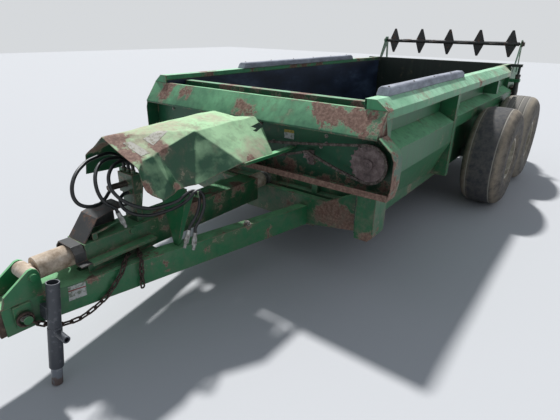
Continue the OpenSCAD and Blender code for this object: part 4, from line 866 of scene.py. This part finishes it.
for axis, first, last, start in ((0, 0.14, 1.20, wall_x), (1, -0.44, 0.44, 0), (2, 0.91, 1.2, 0)):
    cut_across(work, axis, [first + k * knock_squares + start for k in range(int((last - first) / knock_squares))])
work.normal_update()
for vert in work.verts:
    knock = noise.noise(vert.co * 6.1) * 0.006 + noise.noise(vert.co * 15.0) * 0.002 - 0.004
    vert.co += vert.normal * knock
# A dark base green and a heavy weight of facing up paint shade on the hood's near upright sides, and sunlight on
# its roof
hood_finish_with_shaded_sides = enamel("hood_enamel", "#1b5035", "#b7e0ae", rust_share=0.42, mud=0.1, streaks=0.3,
                     top_light_fading=(1.6, 1.38, 1.76))
hood_sheet = show(meshed(work, "hood_sheet"), "hood_sheet", hood_finish_with_shaded_sides)
wall_of_steel = hood_sheet.modifiers.new("sheet", "SOLIDIFY")
wall_of_steel.thickness = 0.004
wall_of_steel.offset = -1
applied(hood_sheet)
# The tear in the rear edge, cut out as a jagged wedge that stands square to the sheet
tear = [(275, 254, 1160), (242, 275, 1143), (284, 280, 1137), (265, 294, 1126), (150, 262, 1140), (150, 236, 1165)]
across = (place_mm(*hood_points["F3"]) - place_mm(*hood_points["E2"])).cross(
    place_mm(*hood_points["E3"]) - place_mm(*hood_points["E2"])).normalized() * 0.05
wedge = bmesh.new()
below, above = [[wedge.verts.new(place_mm(*at) + across * side) for at in tear] for side in (-1, 1)]
for k in range(len(tear)):
    n = (k + 1) % len(tear)
    wedge.faces.new((below[k], below[n], above[n], above[k]))
wedge.faces.new(below[::-1])
wedge.faces.new(above)
bmesh.ops.recalc_face_normals(wedge, faces=wedge.faces[:])
cutter = bpy.data.objects.new("wedge", meshed(wedge, "wedge"))
bpy.context.collection.objects.link(cutter)
cut = hood_sheet.modifiers.new("tear", "BOOLEAN")
cut.operation = "DIFFERENCE"
cut.object = cutter
applied(hood_sheet)
bpy.data.objects.remove(cutter)
wear_at(hood_sheet.data, "bare", rusted_places)
wear_at(hood_sheet.data, "chalk", chalked_places, upright=0.12)
shaded(hood_sheet, 30)
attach(hood_sheet, "root")
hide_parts("hood")


def on_hood(at, way):
    """The place on the knocked roof of the hood, straight under another."""
    on, facing = hood_sheet.ray_cast(at + way * 0.3, -way)[1:3]
    return on + facing * 0.0015


peeled = paper("peeled_label_stock", "#b9b6ab", "#8c8672")
for name, corners in (
        ("hood_label_rear", [(1037, 102, 1191), (909, 76, 1214), (867, 113, 1207), (1020, 165, 1160)]),
        ("hood_label_front", [(1155, 80, 1186), (1108, 90, 1188), (1077, 204, 1133), (1134, 205, 1126)])):
    label(name, corners, peeled, (0, 0, 1), 6, on_hood)


# Tyres
# Ribbed implement tyres, worn nearly smooth: round shoulders that gravel has scuffed tan, grooves that
# hold pale dust, and dark side walls. Each is turned from one cross-section.
tyre_r, half_width, seat_r = 0.523, 0.206, 0.2055


def tyre_section(groove_places, depth):
    """Half-width places and radii across the tyre, with how far each place is a groove or a shoulder."""
    corners = [(0.166, seat_r), (0.1695, seat_r + 0.021), (half_width - 0.012, seat_r + 0.06),
               (half_width - 0.001, seat_r + 0.14), (half_width - 0.006, tyre_r - 0.09),
               (half_width - 0.03, tyre_r - 0.042), (half_width - 0.062, tyre_r - 0.016),
               (half_width - 0.1, tyre_r - 0.005), (0.05, tyre_r - 0.0005), (0, tyre_r)]
    half = smooth([Vector(corner) for corner in corners], 10)
    section = []
    for y, r in half + [Vector((-y, r)) for y, r in half[-2::-1]]:
        near = min(abs(y - g) for g in groove_places)
        cut = max(0, 1 - near / 0.0065)
        # Raised rings on the side wall, where the mould's halves and the rim's edge lie
        ring = max(0, 1 - min(abs(r - at) for at in (0.262, 0.285, 0.432, 0.445)) / 0.0045)
        section.append((y + (0.002 * ring if y > 0 else -0.002 * ring), r - depth * min(1, cut * 1.8), cut,
                        max(0, 1 - abs(abs(y) - 0.15) / 0.075)))
    return section


def tyre(name, axle_x, track_y, groove_places, depth, finish, body, node):
    """One tyre, turned from its cross-section, that marks its grooves, shoulders and crown."""
    section = tyre_section(groove_places, depth)
    work = bmesh.new()
    groove, shoulder, crown = [work.verts.layers.float.new(mark) for mark in ("groove", "shoulder", "crown")]
    around = 112
    rows = []
    for i in range(around):
        angle = 2 * pi * i / around
        row = []
        for y, r, cut, scuffed in section:
            vert = work.verts.new((axle_x + r * sin(angle), track_y + y, tyre_r + r * cos(angle)))
            vert[groove], vert[shoulder], vert[crown] = cut, scuffed, max(0, min(1, (r - 0.44) / 0.07))
            row.append(vert)
        rows.append(row)
    closed_rows(work, rows)
    piece = show(meshed(work, name), name, finish)
    piece.data.shade_smooth()
    piece.data.set_sharp_from_angle(angle=radians(50))
    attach(piece, body)
    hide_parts(node)


def worn_rubber(name, crown_tint, wall_tint, shoulder_tint):
    """Carcass rubber: matt and grey with dust, tan on the scuffed shoulders, near black on its walls."""
    made, tree, place = new_material(name)
    crown, shoulder, groove = [add(tree, "Attribute", attribute_name=mark).outputs["Fac"]
                               for mark in ("crown", "shoulder", "groove")]
    dust = add(tree, "TexNoise", {"Vector": place, "Scale": 16, "Detail": 8, "Roughness": 0.7})
    coat = add(tree, "Mix", {0: crown, 6: wall_tint, 7: crown_tint}, data_type="RGBA")
    scuff = add(tree, "Math", {0: shoulder, 1: dust}, operation="MULTIPLY")
    scuffed = add(tree, "MapRange", {"Value": scuff, "From Min": 0.12, "From Max": 0.55, "To Max": 0.9})
    coat = add(tree, "Mix", {0: scuffed, 6: coat, 7: shoulder_tint}, data_type="RGBA")
    filled = add(tree, "MapRange", {"Value": groove, "From Min": 0.1, "From Max": 0.6, "To Max": 0.85})
    coat = add(tree, "Mix", {0: filled, 6: coat, 7: "#bdb8ad"}, data_type="RGBA")
    cloud = add(tree, "MapRange", {"Value": dust, "From Min": 0.35, "From Max": 0.7, "To Max": 0.45})
    coat = add(tree, "Mix", {0: cloud, 6: coat, 7: "#8b857b"}, data_type="RGBA")
    # Fine scratches all over, a few millimetres apart
    crazed = add(tree, "TexNoise", {"Vector": place, "Scale": 120, "Detail": 6})
    return surfaced(made, {"Base Color": coat, "Roughness": 0.78}, crazed)


# The front tyres' crown is painted darker than the rear's: painted shade, for the shadow of the box over them
shaded_front_rubber = worn_rubber("front_tyre_shaded_rubber", "#414247", "#242427", "#ab9b85")
rear_rubber = worn_rubber("rear_tyre_rubber", "#807c77", "#3a3938", "#bdae97")
wheel_enamel = enamel("wheel_enamel", "#cfc9b8", "#e2dccb", rust_share=0.65, mud=0.7, gloss=0.5)
nut_circle_mm = 84
for side, sign in (("left", 1), ("right", -1)):
    for row, axle_back, grooves, depth, rubber in (
            ("front", -2.58, (0.108, -0.13), 0.004, shaded_front_rubber),
            ("rear", -3.75, (0.1, 0.035, -0.035, -0.1), 0.007, rear_rubber)):
        place_name = row + "_" + side
        tyre("tyre_" + place_name + "_tread", wall_x + axle_back, sign * 1.297, [g * sign for g in grooves],
             depth, rubber, "wheel_" + place_name, "tyre_" + place_name)
        # Eight wheel nuts on the dished disc
        turns = [pi * (k + 0.5) / 4 for k in range(8)]
        bolts("nuts_" + place_name, [
            ((axle_back * 1000 + nut_circle_mm * sin(turn), sign * 1338.5, 523 + nut_circle_mm * cos(turn)),
             (0, sign, 0)) for turn in turns], 24, "wheel_" + place_name)
        as_built("rim_" + place_name, wheel_enamel)


# Rail caps and wall liners
# Polyethylene: grey moulded caps on the rails, chalky from the sun, and dark sheet that lines the box.
def polyethylene(name, dark, middle, pale, scale, rough, slick):
    """Moulded sheet polyethylene: waxy, scuffed paler in streaks that run along the box."""
    made, tree, place = new_material(name)
    drawn = add(tree, "Mapping", {"Vector": place, "Scale": (0.35, 1, 1)})
    scuff = add(tree, "TexNoise", {"Vector": drawn, "Scale": scale, "Detail": 9, "Roughness": 0.68})
    tints = add(tree, "ValToRGB", {0: scuff}, [(0.34, dark), (0.52, middle), (0.7, pale)])
    gloss = add(tree, "MapRange", {"Value": scuff, "To Min": slick, "To Max": rough})
    return surfaced(made, {"Base Color": tints, "Roughness": gloss}, scuff)


caps = worked("rail_caps", polyethylene("chalky_polyethylene", "#787c87", "#9a9eaa", "#bcc0ca", 17, 0.85, 0.5),
              fold=0.006, deep=0.004)
worked("wall_liners", polyethylene("liner_polyethylene", "#101a2b", "#1e2b42", "#43536b", 5, 0.6, 0.3),
       fold=0.001, deep=0)
bolts("cap_screws", [((x, side * 1003, 1441), (0, 0, 1)) for side in (1, -1) for x in range(-3300, -200, 440)],
      9, seat=caps)


# Push-off panel, endgate, beaters and their drive
# Welded plate. The panel has been scoured by the load, the beaters have rusted all over, and their
# bearings and shafts are greasy.
worked("ram_panel", enamel("panel_enamel", "#2c6a46", "#86b892", rust_share=0.7, mud=0.2, spots=[
    (-200, 300, 1333, 120), (-200, -400, 1333, 160), (-200, 800, 1330, 90)]), fold=0.003, deep=0)
worked("endgate", enamel("gate_enamel", "#1d2724", "#33423b", rust_share=0.3, mud=0.5), fold=0.003, deep=0)
worked("main_beater", rusted("beater_steel", "#332722", "#5f4a40", "#8d7364", 8), fold=0.002, deep=0)
worked("rear_drive_case", rusted("case_steel", "#30261f", "#5b4a3f", "#85715f", 14), fold=0.003, deep=0)
bearings = worked("beater_bearings", greasy, fold=0, deep=0)
# The bores stand clear of the turning shaft, all the way round
beater_axis = place_mm(-4735, 0, 930)
bore_r, clearance = 0.021, 0.0008
for vert in bearings.data.vertices:
    out = Vector((vert.co.x - beater_axis.x, 0, vert.co.z - beater_axis.z))
    if out.length < bore_r:
        vert.co += out.normalized() * clearance
